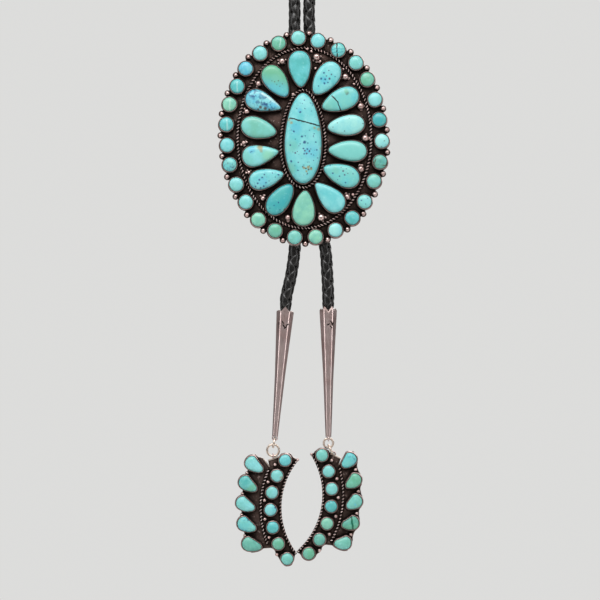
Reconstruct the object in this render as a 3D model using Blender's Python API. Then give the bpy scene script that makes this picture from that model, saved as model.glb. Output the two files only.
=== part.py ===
"""Bolo tie: an oval turquoise cluster slide on a braided leather cord.

The cord runs round the neck and through a plain clip behind the slide. Its two
free ends go into faceted silver tips, and each tip carries a curved pendant.
Metres, +Z up, the front faces -Y. The origin is at the nape of the neck, under
the cord, where the whole tie hangs. Faces are drawn flat in X and Y with their
height in Z, then stood up.
"""
import math

import bmesh
import bpy
from mathutils import Matrix, Vector

MM = 0.001

# Fits between separate pieces
GAP = 0.3 * MM

# Cord
CORD_DIAMETER = 5.2 * MM
CORD_SPACING = 6.2 * MM
CORD_MIDDLE_X = -0.9 * MM
CORD_STEP = 12.5 * MM
FRONT_Y = -140.0 * MM
SLIDE_Z = -280.0 * MM
# Half of the neck loop in millimetres, from the nape down to the parallel stretch
NECK_ROUTE = (
    # side, y, z
    (0.0, 0.0, 0.0),
    (27.0, -5.0, -4.0),
    (50.0, -22.0, -15.0),
    (64.0, -48.0, -33.0),
    (66.0, -76.0, -60.0),
    (56.0, -102.0, -95.0),
    (38.0, -122.0, -135.0),
    (19.0, -134.0, -174.0),
    (6.0, -139.5, -209.0),
)
PARALLEL_HEIGHTS = (-223.0, -240.0, -258.0)
# Free ends in millimetres below the middle of the slide
LEFT_END_ROUTE = ((-4.0, -8.0), (-4.0, -18.0), (-3.7, -31.0), (-3.8, -43.0), (-5.2, -54.0))
RIGHT_END_ROUTE = ((2.2, -8.0), (2.5, -17.0), (5.2, -30.0), (8.3, -43.0), (9.2, -54.0))

# Cord tips
TIP_LENGTH = 50.6 * MM
TIP_TOP_RADIUS = 3.35 * MM
TIP_WAIST_RADIUS = 2.15 * MM
TIP_WAIST_DEPTH = 25.6 * MM
TIP_END_RADIUS = 1.2 * MM
TIP_POINT_HEIGHT = 1.7 * MM
SOCKET_DEPTH = 5.9 * MM
SOCKET_TOP_RADIUS = 2.62 * MM
SOCKET_FLOOR_RADIUS = 2.3 * MM
NECKING_HEIGHT = 1.2 * MM
TIP_TOP_DROP = 69.2 * MM
LEFT_TIP_TOP = Vector((-7.7 * MM, FRONT_Y, SLIDE_Z - TIP_TOP_DROP))
LEFT_TIP_LEAN = math.radians(4.7)
RIGHT_TIP_TOP = Vector((9.6 * MM, FRONT_Y, SLIDE_Z - TIP_TOP_DROP))
RIGHT_TIP_LEAN = math.radians(-0.1)

# Eyes and jump rings
WIRE_RADIUS = 0.4 * MM
EYE_HOLE_RADIUS = WIRE_RADIUS + GAP
EYE_RADIUS = EYE_HOLE_RADIUS + 0.5 * MM
EYE_THICKNESS = 1.0 * MM
EYE_DROP = 0.65 * MM
RING_SIDES = 14
WIRE_SIDES = 6
LINK_OFFSET = 2 * WIRE_RADIUS + GAP
LEFT_LOWER_RING_RADIUS = 2.4 * MM
RIGHT_UPPER_RING_RADIUS = 1.9 * MM

# Slide plate and its frame
PLATE_THICKNESS = 1.2 * MM
ROUND_RING_X = 30.8 * MM
ROUND_RING_Z = 40.0 * MM
PLATE_MARGIN = 2.8 * MM
PLATE_SIDES = 54
SUNK = 0.5 * MM

# Outer ring of round stones, set in one piece with the plate
# Each row gives degrees round the ring and the share of the ring's size
ROUND_LAYOUT = (
    (94.6, 1.000), (79.7, 0.984), (63.4, 0.978), (48.3, 1.001), (35.5, 1.001),
    (22.7, 0.990), (10.6, 0.987), (-1.8, 1.004), (-13.8, 1.009), (-25.6, 0.999),
    (-39.2, 1.005), (-52.2, 1.012), (-66.4, 1.004), (-81.6, 0.999), (-97.2, 1.001),
    (-112.3, 1.001), (-126.2, 1.011), (-139.8, 0.994), (-152.2, 0.997), (-164.5, 1.003),
    (-175.8, 1.004), (172.5, 1.020), (161.0, 1.026), (149.5, 1.011), (137.8, 1.027),
    (124.2, 1.019), (109.5, 0.998),
)
ROUND_RADIUS = 3.25 * MM
ROUND_SIDES = 10
ROUND_HEIGHT = 2.0 * MM
ROUND_DOME = 1.0 * MM
LIP_SHARE = 0.88

# Pear stones round the centre
PEAR_RING_X = 18.2 * MM
PEAR_RING_Z = 27.8 * MM
PEAR_POINTS = 14
PEAR_WALL_HEIGHT = 2.2 * MM
PEAR_DOME = 1.3 * MM
PEAR_LAYOUT = (
    # degrees round the ring, share of the ring's size, degrees of the stone's axis,
    # length and width in millimetres, taper, colour
    (95.7, 0.994, 94.0, 14.2, 8.5, 0.30, "teal"),
    (61.1, 0.970, 53.5, 14.6, 8.8, 0.24, "cyan"),
    (34.5, 0.951, 22.8, 15.0, 8.4, 0.28, "green"),
    (11.0, 0.931, 7.2, 14.4, 7.7, 0.22, "sky"),
    (-11.1, 0.965, -2.5, 14.9, 7.8, 0.30, "pale_green"),
    (-33.1, 0.965, -21.5, 14.7, 8.3, 0.32, "cyan"),
    (-57.6, 1.000, -44.7, 14.5, 8.3, 0.44, "teal"),
    (-90.6, 1.012, -94.5, 13.7, 8.5, 0.32, "pale_green"),
    (-120.9, 1.029, -128.3, 14.1, 7.8, 0.20, "teal"),
    (-145.2, 1.015, -164.9, 13.8, 7.5, 0.36, "sky"),
    (-165.7, 0.992, -169.4, 14.2, 8.0, 0.50, "sky"),
    (-187.7, 1.009, -195.0, 13.9, 8.0, 0.28, "green"),
    (-209.6, 1.031, -199.6, 14.4, 7.8, 0.55, "blue"),
    (-232.6, 1.014, -233.8, 14.0, 8.4, 0.26, "green"),
)

# Centre stone, an egg with its narrow end up
CENTER_X = -0.5 * MM
CENTER_WIDEST_Z = -2.8 * MM
CENTER_WIDTH = 14.9 * MM
CENTER_ABOVE = 20.3 * MM
CENTER_BELOW = 15.3 * MM
CENTER_SIDES = 26
CENTER_WALL_HEIGHT = 2.5 * MM
CENTER_DOME = 1.8 * MM

# Walls of the settings, twisted wires and silver balls
WALL = 0.4 * MM
CUP_FLOOR = 0.1 * MM
WIRE_RING_RADIUS = 0.6 * MM
INNER_WIRE_MARGIN = 1.0 * MM
INNER_WIRE_SIDES = 26
OUTER_WIRE_X = 26.7 * MM
OUTER_WIRE_Z = 36.0 * MM
OUTER_WIRE_SIDES = 40
WIRE_LIFT = 0.25 * MM
INNER_BALL_RADIUS = 1.1 * MM
INNER_BALL_LIFT = 0.3 * MM
INNER_BALL_X = 24.3 * MM
INNER_BALL_Z = 33.0 * MM
BALL_SEGMENTS = 8
BALL_RINGS = 4

# Clip on the back of the slide
CLIP_HEIGHT = 30.0 * MM
CLIP_WALL = 0.8 * MM
CLIP_ROOM = CORD_DIAMETER + 2 * GAP
PLATE_BACK_Y = FRONT_Y - CLIP_ROOM / 2 - CLIP_WALL - GAP

# Pendants: bands between arcs about one centre, seen from the front
PENDANT_THICKNESS = 1.0 * MM
BAND_INNER = 30.1 * MM
BAND_ROUNDS_EDGE = 37.4 * MM
BAND_PEARS_EDGE = 46.4 * MM
BAND_TAB_EDGE = 40.4 * MM
BAND_NOTCH_EDGE = 38.8 * MM
BAND_TOP_DEG = 41.0
BAND_TOP_EDGE_DEG = 37.0
BAND_FOOT_DEG = -41.0
BAND_NOTCH_DEG = 26.5
BAND_TAB_DEG = 29.3
BAND_SHOULDER_DEG = 34.5
BAND_PEARS_TOP_DEG = 31.0
BAND_PEARS_FOOT_DEG = -25.0
PENDANT_ROUND_RADIUS = 2.3 * MM
PENDANT_ROUND_COUNT = 7
PENDANT_PEAR_COUNT = 5
PENDANT_PEAR_TAPER = 0.3
PENDANT_WALL_HEIGHT = 1.7 * MM
PENDANT_DOME = 1.0 * MM
PENDANT_WALL = 0.35 * MM
INNER_EDGE_WIRE_ARC = 30.6 * MM
MIDDLE_WIRE_ARC = 38.6 * MM
MIDDLE_WIRE_DEGS = (25.0, -21.0)
PENDANT_WIRE_RADIUS = 0.55 * MM

LEFT_PENDANT = {
    "name": "left",
    "side": -1,
    "centre_from_eye": (33.6 * MM, -20.7 * MM),
    "turn_deg": -1.15,
    "foot_deg": -35.3,
    "foot_bulge_deg": -40.5,
    "round_arc": 34.6 * MM,
    "round_degs": (35.0, -35.0),
    "pear_arc": 44.6 * MM,
    "pear_degs": (24.1, -18.1),
    "pear_size": (8.0 * MM, 5.5 * MM),
    "pear_tilts": (14, 24, 26, 36, 36),
    "pear_colours": ("cyan", "teal", "sky", "sky", "teal"),
    "round_colours": ("blue", "sky", "pale_green", "cyan", "teal", "green", "green"),
}
RIGHT_PENDANT = {
    "name": "right",
    "side": 1,
    "centre_from_eye": (-34.5 * MM, -16.3 * MM),
    "turn_deg": -8.2,
    "foot_deg": -39.0,
    "foot_bulge_deg": -43.6,
    "round_arc": 34.1 * MM,
    "round_degs": (36.3, -35.3),
    "pear_arc": 43.0 * MM,
    "pear_degs": (26.9, -18.5),
    "pear_size": (7.0 * MM, 5.4 * MM),
    "pear_tilts": (28, 34, 42, 34, 34),
    "pear_colours": ("cyan", "green", "teal", "green", "sky"),
    "round_colours": ("teal", "sky", "blue", "teal", "pale_green", "teal", "green"),
}
# From the hole under each tip to the eye of its pendant
LEFT_PENDANT_HANG = Vector((-0.7, 0.0, -7.4)) * MM
RIGHT_PENDANT_HANG = Vector((1.8, 0.0, -6.35)) * MM
EYE_STEM_LENGTH = 2.4 * MM

COLOURS = {
    "sky": (0.36, 0.68, 0.72),
    "cyan": (0.17, 0.56, 0.63),
    "blue": (0.12, 0.42, 0.60),
    "teal": (0.12, 0.48, 0.50),
    "green": (0.22, 0.50, 0.40),
    "pale_green": (0.40, 0.68, 0.62),
}
SILVER = (0.48, 0.42, 0.40)
LEATHER = (0.012, 0.011, 0.011)

STAND_UP = Matrix.Rotation(math.pi / 2, 4, "X")


def start_scene():
    """Empty the scene, and return the collections for the parts and the cutters."""
    for old in list(bpy.data.objects):
        bpy.data.objects.remove(old, do_unlink=True)
    parts = bpy.data.collections.new("bolo_tie")
    cutters = bpy.data.collections.new("cutters")
    bpy.context.scene.collection.children.link(parts)
    bpy.context.scene.collection.children.link(cutters)
    return parts, cutters


PARTS, CUTTERS = start_scene()


def material(name, colour, roughness, metallic):
    """Return the named material, made on its first use."""
    found = bpy.data.materials.get(name)
    if found:
        return found
    made = bpy.data.materials.new(name)
    made.use_nodes = True
    shader = made.node_tree.nodes["Principled BSDF"]
    shader.inputs["Base Color"].default_value = (*colour, 1.0)
    shader.inputs["Roughness"].default_value = roughness
    shader.inputs["Metallic"].default_value = metallic
    made.diffuse_color = (*colour, 1.0)
    return made


def silver():
    return material("silver", SILVER, 0.35, 1.0)


def turquoise(colour):
    return material("turquoise_" + colour, COLOURS[colour], 0.3, 0.0)


def leather():
    return material("leather", LEATHER, 0.35, 0.0)


def empty(name, place):
    """Return an empty that a group of pieces is parented to."""
    made = bpy.data.objects.new(name, None)
    made.location = place
    PARTS.objects.link(made)
    bpy.context.view_layer.update()
    return made


def part(name, mesh, look, place=None, parent=None):
    """Add one piece of the tie at its world matrix."""
    mesh.materials.clear()
    mesh.materials.append(look)
    made = bpy.data.objects.new(name, mesh)
    PARTS.objects.link(made)
    mesh.shade_smooth()
    mesh.set_sharp_from_angle(angle=math.radians(35))
    world = place if place is not None else Matrix.Identity(4)
    if parent:
        made.parent = parent
        made.matrix_parent_inverse = Matrix.Identity(4)
        world = parent.matrix_world.inverted() @ world
    made.matrix_basis = world
    return made


def cutter(name, mesh, place, target, operation):
    """Join the mesh to a piece, or cut it away, and keep it as a guide."""
    made = bpy.data.objects.new(name, mesh)
    CUTTERS.objects.link(made)
    made.matrix_basis = place
    made.hide_render = True
    made.display_type = "WIRE"
    step = target.modifiers.new(name, "BOOLEAN")
    step.operation = operation
    step.solver = "EXACT"
    step.use_self = operation == "UNION"
    step.object = made
    return made


def mesh_from(bm, name):
    """Close a bmesh into a mesh with its faces pointing out."""
    bmesh.ops.recalc_face_normals(bm, faces=bm.faces)
    made = bpy.data.meshes.new(name)
    bm.to_mesh(made)
    bm.free()
    return made


def curve_mesh(name, points, cyclic, depth=0.0, extrude=0.0, resolution=1, radii=None):
    """Return the welded mesh of a POLY curve, a tube if it has depth, a plate if extruded."""
    curve = bpy.data.curves.new(name, "CURVE")
    curve.dimensions = "2D" if extrude else "3D"
    curve.fill_mode = "BOTH" if extrude else "FULL"
    curve.extrude = extrude
    curve.bevel_depth = depth
    curve.bevel_resolution = resolution
    curve.use_fill_caps = not cyclic
    spline = curve.splines.new("POLY")
    spline.points.add(len(points) - 1)
    for index, place in enumerate(points):
        spline.points[index].co = (*place.to_3d(), 1.0)
        spline.points[index].radius = radii[index] if radii else 1.0
    spline.use_cyclic_u = cyclic
    holder = bpy.data.objects.new(name, curve)
    CUTTERS.objects.link(holder)
    bpy.context.view_layer.update()
    evaluated = holder.evaluated_get(bpy.context.evaluated_depsgraph_get())
    mesh = bpy.data.meshes.new_from_object(evaluated)
    bpy.data.objects.remove(holder, do_unlink=True)
    bpy.data.curves.remove(curve)
    bm = bmesh.new()
    bm.from_mesh(mesh)
    bpy.data.meshes.remove(mesh)
    bmesh.ops.remove_doubles(bm, verts=bm.verts, dist=0.00001)
    return mesh_from(bm, name)


def circle(radius, sides):
    turns = (2 * math.pi * i / sides for i in range(sides))
    return [Vector((radius * math.cos(a), radius * math.sin(a))) for a in turns]


def pear(length, width, taper, offset=0.0):
    """Return a teardrop along X with its wide end at +X. The taper thins its other end."""
    turns = [2 * math.pi * i / PEAR_POINTS for i in range(PEAR_POINTS)]
    bulges = [math.sin(a) * (1 + taper * math.cos(a)) for a in turns]
    widest = max(bulges)
    points = []
    for angle, bulge in zip(turns, bulges):
        x = (length / 2 + offset) * math.cos(angle)
        points.append(Vector((x, (width / 2 + offset) * bulge / widest)))
    return points


def egg(offset=0.0):
    """Return the centre stone's outline, grown by the offset."""
    points = []
    for i in range(CENTER_SIDES):
        angle = 2 * math.pi * i / CENTER_SIDES
        tall = CENTER_ABOVE if math.sin(angle) > 0 else CENTER_BELOW
        x = CENTER_X + (CENTER_WIDTH / 2 + offset) * math.cos(angle)
        points.append(Vector((x, CENTER_WIDEST_Z + (tall + offset) * math.sin(angle))))
    return points


def moved(outline, place, angle=0.0):
    """Turn an outline about its own origin and move it to a place on the face."""
    turn = Matrix.Rotation(angle, 2)
    return [turn @ p + place for p in outline]


def shrunk(outline, share):
    middle = sum(outline, Vector((0.0, 0.0))) / len(outline)
    return [middle + (p - middle) * share for p in outline]


def loft(bm, sections):
    """Skin closed outlines, each with its heights, from the first to the last, and cap both."""
    rings = []
    for outline, height in sections:
        heights = height if isinstance(height, (list, tuple)) else [height] * len(outline)
        rings.append([bm.verts.new((p.x, p.y, z)) for p, z in zip(outline, heights)])
    for lower, upper in zip(rings, rings[1:]):
        for i in range(len(lower)):
            j = (i + 1) % len(lower)
            bm.faces.new((lower[i], lower[j], upper[j], upper[i]))
    bm.faces.new(list(reversed(rings[0])))
    bm.faces.new(rings[-1])


def cabochon(name, outline, base, wall, dome):
    """Return a domed stone: an upright girdle below two smaller sections."""
    bm = bmesh.new()
    sections = ((1.0, base), (1.0, wall), (0.8, wall + 0.65 * dome), (0.4, wall + dome))
    loft(bm, [(shrunk(outline, share), height) for share, height in sections])
    return mesh_from(bm, name)


def cup(bm, outer, inner, base, top, floor):
    """Add a bezel cup with its foot at base and its floor inside."""
    loft(bm, ((outer, base), (outer, top), (inner, top), (inner, floor)))


def set_round(bm, place, top):
    """Add one outer stone in its bezel, stone and bezel in one body."""
    outline = moved(circle(ROUND_RADIUS, ROUND_SIDES), place)
    loft(bm, (
        (outline, PLATE_THICKNESS - SUNK),
        (outline, top),
        (shrunk(outline, LIP_SHARE), top),
        (shrunk(outline, 0.5), top + ROUND_DOME),
    ))


def ball(bm, place, radius, height):
    """Add one silver ball, its centre at the height over the face."""
    where = Matrix.Translation((place.x, place.y, height))
    bmesh.ops.create_uvsphere(
        bm, u_segments=BALL_SEGMENTS, v_segments=BALL_RINGS, radius=radius, matrix=where
    )


def add_wire(bm, name, points, radius, height, cyclic):
    """Add a round wire that lies on the face along its points."""
    lifted = [Vector((p.x, p.y, height)) for p in points]
    mesh = curve_mesh(name, lifted, cyclic, depth=radius)
    bm.from_mesh(mesh)
    bpy.data.meshes.remove(mesh)


def on_ellipse(half_x, half_z, angle):
    return Vector((half_x * math.cos(angle), half_z * math.sin(angle)))


def round_places():
    places = []
    for around, share in ROUND_LAYOUT:
        places.append(on_ellipse(ROUND_RING_X, ROUND_RING_Z, math.radians(around)) * share)
    return places


def pear_outline(row, offset=0.0):
    """Return the outline of one pear stone of the slide, grown by the offset."""
    around, share, axis, length, width, taper, _ = row
    place = on_ellipse(PEAR_RING_X, PEAR_RING_Z, math.radians(around)) * share
    return moved(pear(length * MM, width * MM, taper, offset), place, math.radians(axis))


def slide_features():
    """Return all that stands on the slide's plate, as one mesh to be joined to it."""
    bm = bmesh.new()
    face = PLATE_THICKNESS
    foot = face - SUNK
    for place in round_places():
        set_round(bm, place, face + ROUND_HEIGHT)
    for row in PEAR_LAYOUT:
        outer = pear_outline(row, GAP + WALL)
        cup(bm, outer, pear_outline(row, GAP), foot, face + PEAR_WALL_HEIGHT, face + CUP_FLOOR)
    arounds = [row[0] for row in PEAR_LAYOUT]
    arounds.append(arounds[0] - 360.0)
    for first, second in zip(arounds, arounds[1:]):
        angle = math.radians((first + second) / 2)
        place = on_ellipse(INNER_BALL_X, INNER_BALL_Z, angle)
        ball(bm, place, INNER_BALL_RADIUS, face + INNER_BALL_LIFT)
    cup(bm, egg(GAP + WALL), egg(GAP), foot, face + CENTER_WALL_HEIGHT, face + CUP_FLOOR)
    inner_ring = egg(GAP + WALL + INNER_WIRE_MARGIN)
    add_wire(bm, "inner_wire", inner_ring, WIRE_RING_RADIUS, face + WIRE_LIFT, True)
    turns = [2 * math.pi * i / OUTER_WIRE_SIDES for i in range(OUTER_WIRE_SIDES)]
    outer_ring = [on_ellipse(OUTER_WIRE_X, OUTER_WIRE_Z, a) for a in turns]
    add_wire(bm, "outer_wire", outer_ring, WIRE_RING_RADIUS, face + WIRE_LIFT, True)
    return mesh_from(bm, "slide_features")


def make_slide():
    """Build the slide: its setting, the stones in their cups, and the clip behind."""
    middle = empty("slide", (0.0, FRONT_Y, SLIDE_Z))
    place = Matrix.Translation((0.0, PLATE_BACK_Y, SLIDE_Z)) @ STAND_UP
    edge_x = ROUND_RING_X + PLATE_MARGIN
    edge_z = ROUND_RING_Z + PLATE_MARGIN
    rim = [on_ellipse(edge_x, edge_z, 2 * math.pi * i / PLATE_SIDES) for i in range(PLATE_SIDES)]
    plate = curve_mesh("slide_setting", rim, True, extrude=PLATE_THICKNESS / 2)
    plate.transform(Matrix.Translation((0.0, 0.0, PLATE_THICKNESS / 2)))
    setting = part("slide_setting", plate, silver(), place, middle)
    cutter("slide_features", slide_features(), place, setting, "UNION")

    base = PLATE_THICKNESS + CUP_FLOOR + GAP
    top = PLATE_THICKNESS + CENTER_WALL_HEIGHT
    stone = cabochon("center_stone", egg(), base, top, CENTER_DOME)
    part("center_stone", stone, turquoise("cyan"), place, middle)
    top = PLATE_THICKNESS + PEAR_WALL_HEIGHT
    for number, row in enumerate(PEAR_LAYOUT, 1):
        name = f"pear_stone_{number:02d}"
        stone = cabochon(name, pear_outline(row), base, top, PEAR_DOME)
        part(name, stone, turquoise(row[-1]), place, middle)
    make_clip(middle)


def make_clip(parent):
    """Build the flat sleeve that grips both cords against the back of the plate."""
    room_x = CORD_SPACING + CLIP_ROOM
    centre = Matrix.Translation((CORD_MIDDLE_X, FRONT_Y, SLIDE_Z))
    bm = bmesh.new()
    outer = (room_x + 2 * CLIP_WALL, CLIP_ROOM + 2 * CLIP_WALL, CLIP_HEIGHT)
    bmesh.ops.create_cube(bm, size=1.0, matrix=Matrix.Diagonal((*outer, 1.0)))
    clip = part("cord_clip", mesh_from(bm, "cord_clip"), silver(), centre, parent)
    bm = bmesh.new()
    room = (room_x, CLIP_ROOM, 1.2 * CLIP_HEIGHT)
    bmesh.ops.create_cube(bm, size=1.0, matrix=Matrix.Diagonal((*room, 1.0)))
    cutter("clip_room", mesh_from(bm, "clip_room"), centre, clip, "DIFFERENCE")


def smooth(points, step):
    """Return even points along a smooth curve through the route's own points."""
    ends = [points[0] * 2 - points[1]] + points + [points[-1] * 2 - points[-2]]
    fine = 24
    dense = []
    for before, first, last, after in zip(ends, ends[1:], ends[2:], ends[3:]):
        for i in range(fine):
            t = i / fine
            dense.append(0.5 * (
                2 * first
                + (last - before) * t
                + (2 * before - 5 * first + 4 * last - after) * t ** 2
                + (3 * first - before - 3 * last + after) * t ** 3
            ))
    dense.append(points[-1])
    walked = [0.0]
    for first, last in zip(dense, dense[1:]):
        walked.append(walked[-1] + (last - first).length)
    count = max(2, round(walked[-1] / step))
    even = []
    at = 0
    for k in range(count + 1):
        goal = walked[-1] * k / count
        while at < len(dense) - 2 and walked[at + 1] < goal:
            at += 1
        share = (goal - walked[at]) / (walked[at + 1] - walked[at])
        even.append(dense[at].lerp(dense[at + 1], min(share, 1.0)))
    return even


def make_neck_cord():
    """Build the loop from inside the clip, up round the neck, and back to the clip."""
    lift = Vector((0.0, 0.0, CORD_DIAMETER / 2))
    sides = []
    for side in (-1, 1):
        cord_x = CORD_MIDDLE_X + side * CORD_SPACING / 2
        half = [Vector((side * x, y, z)) * MM + lift for x, y, z in NECK_ROUTE]
        half += [Vector((cord_x, FRONT_Y, z * MM)) for z in PARALLEL_HEIGHTS]
        half.append(Vector((cord_x, FRONT_Y, SLIDE_Z + GAP / 2)))
        sides.append(half)
    route = list(reversed(sides[0])) + sides[1][1:]
    points = smooth(route, CORD_STEP)
    mesh = curve_mesh("neck_cord", points, False, depth=CORD_DIAMETER / 2, resolution=2)
    part("neck_cord", mesh, leather())


def make_cord_end(name, route, tip_top, lean):
    """Build a free end, from inside the clip down into the socket of its tip."""
    axis = Vector((-math.sin(lean), 0.0, -math.cos(lean)))
    cord_x = route[0][0] * MM
    points = [Vector((cord_x, FRONT_Y, SLIDE_Z - GAP / 2))]
    points += [Vector((x * MM, FRONT_Y, SLIDE_Z + z * MM)) for x, z in route]
    necking = TIP_POINT_HEIGHT + NECKING_HEIGHT
    points.append(tip_top - axis * (necking + 3 * NECKING_HEIGHT))
    free = smooth(points + [tip_top - axis * necking], CORD_STEP / 2)
    socketed = [tip_top - axis * TIP_POINT_HEIGHT, tip_top, tip_top + axis * (SOCKET_DEPTH - GAP)]
    full = CORD_DIAMETER / 2
    narrow = [(SOCKET_TOP_RADIUS - GAP) / full] * 2 + [(SOCKET_FLOOR_RADIUS - GAP) / full]
    radii = [1.0] * len(free) + narrow
    mesh = curve_mesh(name, free + socketed, False, depth=full, resolution=2, radii=radii)
    part(name, mesh, leather())


def eye(bm, axis, place, stem):
    """Add a small disc with its flat sides along the axis, and a stem down or up from it."""
    turn = axis.to_track_quat("Z", "Y").to_matrix().to_4x4()
    bmesh.ops.create_cone(
        bm, cap_ends=True, segments=12, radius1=EYE_RADIUS, radius2=EYE_RADIUS,
        depth=EYE_THICKNESS, matrix=Matrix.Translation(place) @ turn,
    )
    across = Vector((abs(axis.y), abs(axis.x), 0.0)) * 1.5 * EYE_RADIUS
    size = across + Vector((abs(axis.x), abs(axis.y), 0.0)) * 0.9 * EYE_THICKNESS
    size.z = abs(stem)
    middle = Matrix.Translation(place + Vector((0.0, 0.0, stem / 2)))
    box = Matrix.Diagonal((*size, 1.0))
    bmesh.ops.create_cube(bm, size=1.0, matrix=middle @ box)


def eye_hole(axis):
    """Return the mesh of the hole that a ring passes through."""
    bm = bmesh.new()
    turn = axis.to_track_quat("Z", "Y").to_matrix().to_4x4()
    bmesh.ops.create_cone(
        bm, cap_ends=True, segments=12, radius1=EYE_HOLE_RADIUS, radius2=EYE_HOLE_RADIUS,
        depth=4 * EYE_THICKNESS, matrix=turn,
    )
    return mesh_from(bm, "eye_hole")


def hexagon(radius):
    """Return a hexagon with a point at each corner and at the middle of each flat."""
    points = []
    for i in range(12):
        angle = i * math.pi / 6
        arm = radius if i % 2 == 0 else radius * math.cos(math.pi / 6)
        points.append(Vector((arm * math.cos(angle), arm * math.sin(angle))))
    return points


def make_tip(name, top, lean, points_on_flats, eye_axis):
    """Build a tapered six-sided tip with a cord socket, an eye and a rim of six points.

    The points stand over the middles of the flats or over the corners.
    """
    rim = [TIP_POINT_HEIGHT if (i % 2 == 1) == points_on_flats else 0.0 for i in range(12)]
    bm = bmesh.new()
    socket = [p.normalized() for p in hexagon(1.0)]
    loft(bm, (
        (hexagon(TIP_END_RADIUS), -TIP_LENGTH),
        (hexagon(TIP_WAIST_RADIUS), -TIP_WAIST_DEPTH),
        (hexagon(TIP_TOP_RADIUS), rim),
        ([p * SOCKET_TOP_RADIUS for p in socket], rim),
        ([p * SOCKET_FLOOR_RADIUS for p in socket], -SOCKET_DEPTH),
    ))
    place = Matrix.Translation(top) @ Matrix.Rotation(lean, 4, "Y")
    tip = part(name, mesh_from(bm, name), silver(), place)
    bm = bmesh.new()
    eye_place = Vector((0.0, 0.0, -TIP_LENGTH - EYE_DROP))
    eye(bm, eye_axis, eye_place, 3 * EYE_DROP)
    cutter(name + "_eye", mesh_from(bm, name + "_eye"), place, tip, "UNION")
    hole_place = place @ Matrix.Translation(eye_place)
    cutter(name + "_hole", eye_hole(eye_axis), hole_place, tip, "DIFFERENCE")
    return hole_place.translation


def make_ring(name, centre, across, radius, parent=None):
    """Build a jump ring whose flat side faces along the given direction."""
    bpy.ops.mesh.primitive_torus_add(
        major_radius=radius, minor_radius=WIRE_RADIUS,
        major_segments=RING_SIDES, minor_segments=WIRE_SIDES,
    )
    torus = bpy.context.object
    mesh = torus.data
    bpy.data.objects.remove(torus, do_unlink=True)
    place = Matrix.Translation(centre) @ across.to_track_quat("Z", "Y").to_matrix().to_4x4()
    part(name, mesh, silver(), place, parent)


def polar(pendant, radius, degrees):
    """Return a point of a pendant's face, by its arc and its angle above the middle."""
    angle = math.radians(degrees + pendant["turn_deg"])
    return Vector((pendant["side"] * radius * math.cos(angle), radius * math.sin(angle)))


def arc(pendant, radius, first, last, steps):
    turns = [first + (last - first) * i / steps for i in range(steps + 1)]
    return [polar(pendant, radius, turn) for turn in turns]


def spread(ends, count):
    return [ends[0] + (ends[1] - ends[0]) * i / (count - 1) for i in range(count)]


def pendant_outline(pendant):
    """Return the plate's edge: inner arc, foot, wide band under the pears, notch and top."""
    foot = pendant["foot_deg"]
    bulge = pendant["foot_bulge_deg"]
    return (
        arc(pendant, BAND_INNER, BAND_TOP_DEG, foot, 14)
        + [polar(pendant, pendant["round_arc"], bulge)]
        + arc(pendant, BAND_ROUNDS_EDGE, BAND_FOOT_DEG, BAND_PEARS_FOOT_DEG, 3)
        + arc(pendant, BAND_PEARS_EDGE, BAND_PEARS_FOOT_DEG, BAND_PEARS_TOP_DEG, 10)
        + [
            polar(pendant, BAND_NOTCH_EDGE, BAND_NOTCH_DEG),
            polar(pendant, BAND_TAB_EDGE, BAND_TAB_DEG),
            polar(pendant, BAND_ROUNDS_EDGE, BAND_SHOULDER_DEG),
            polar(pendant, BAND_ROUNDS_EDGE, BAND_TOP_EDGE_DEG),
            polar(pendant, pendant["round_arc"], BAND_TOP_DEG),
        ]
    )


def pendant_stones(pendant):
    """Yield each stone of a pendant: its name, colour, outline and outline grown by an offset."""
    length, width = pendant["pear_size"]
    side = pendant["side"]
    pears = spread(pendant["pear_degs"], PENDANT_PEAR_COUNT)
    for number, around in enumerate(pears):
        tilt = around + pendant["turn_deg"] + pendant["pear_tilts"][number]
        turn = math.radians(tilt if side > 0 else 180.0 - tilt)
        place = polar(pendant, pendant["pear_arc"], around)

        def pear_grown(offset, place=place, turn=turn):
            return moved(pear(length, width, PENDANT_PEAR_TAPER, offset), place, turn)

        yield f"pear_{number + 1}", pendant["pear_colours"][number], pear_grown
    rounds = spread(pendant["round_degs"], PENDANT_ROUND_COUNT)
    for number, around in enumerate(rounds):
        place = polar(pendant, pendant["round_arc"], around)

        def round_grown(offset, place=place):
            return moved(circle(PENDANT_ROUND_RADIUS + offset, ROUND_SIDES), place)

        yield f"round_{number + 1}", pendant["round_colours"][number], round_grown


def pendant_features(pendant):
    """Return the cups, wires and balls of a pendant's face, to be joined to its plate."""
    bm = bmesh.new()
    face = PENDANT_THICKNESS
    for _, _, grown in pendant_stones(pendant):
        outer = grown(GAP + PENDANT_WALL)
        cup(bm, outer, grown(GAP), face - SUNK, face + PENDANT_WALL_HEIGHT, face + CUP_FLOOR)
    wire_end = pendant["foot_deg"] + 1.0
    inner = arc(pendant, INNER_EDGE_WIRE_ARC, BAND_TOP_DEG - 1.0, wire_end, 12)
    add_wire(bm, "inner_edge", inner, PENDANT_WIRE_RADIUS, face + WIRE_LIFT, False)
    middle = arc(pendant, MIDDLE_WIRE_ARC, *MIDDLE_WIRE_DEGS, 8)
    add_wire(bm, "middle", middle, PENDANT_WIRE_RADIUS, face + WIRE_LIFT, False)
    return mesh_from(bm, pendant["name"] + "_pendant_features")


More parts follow.
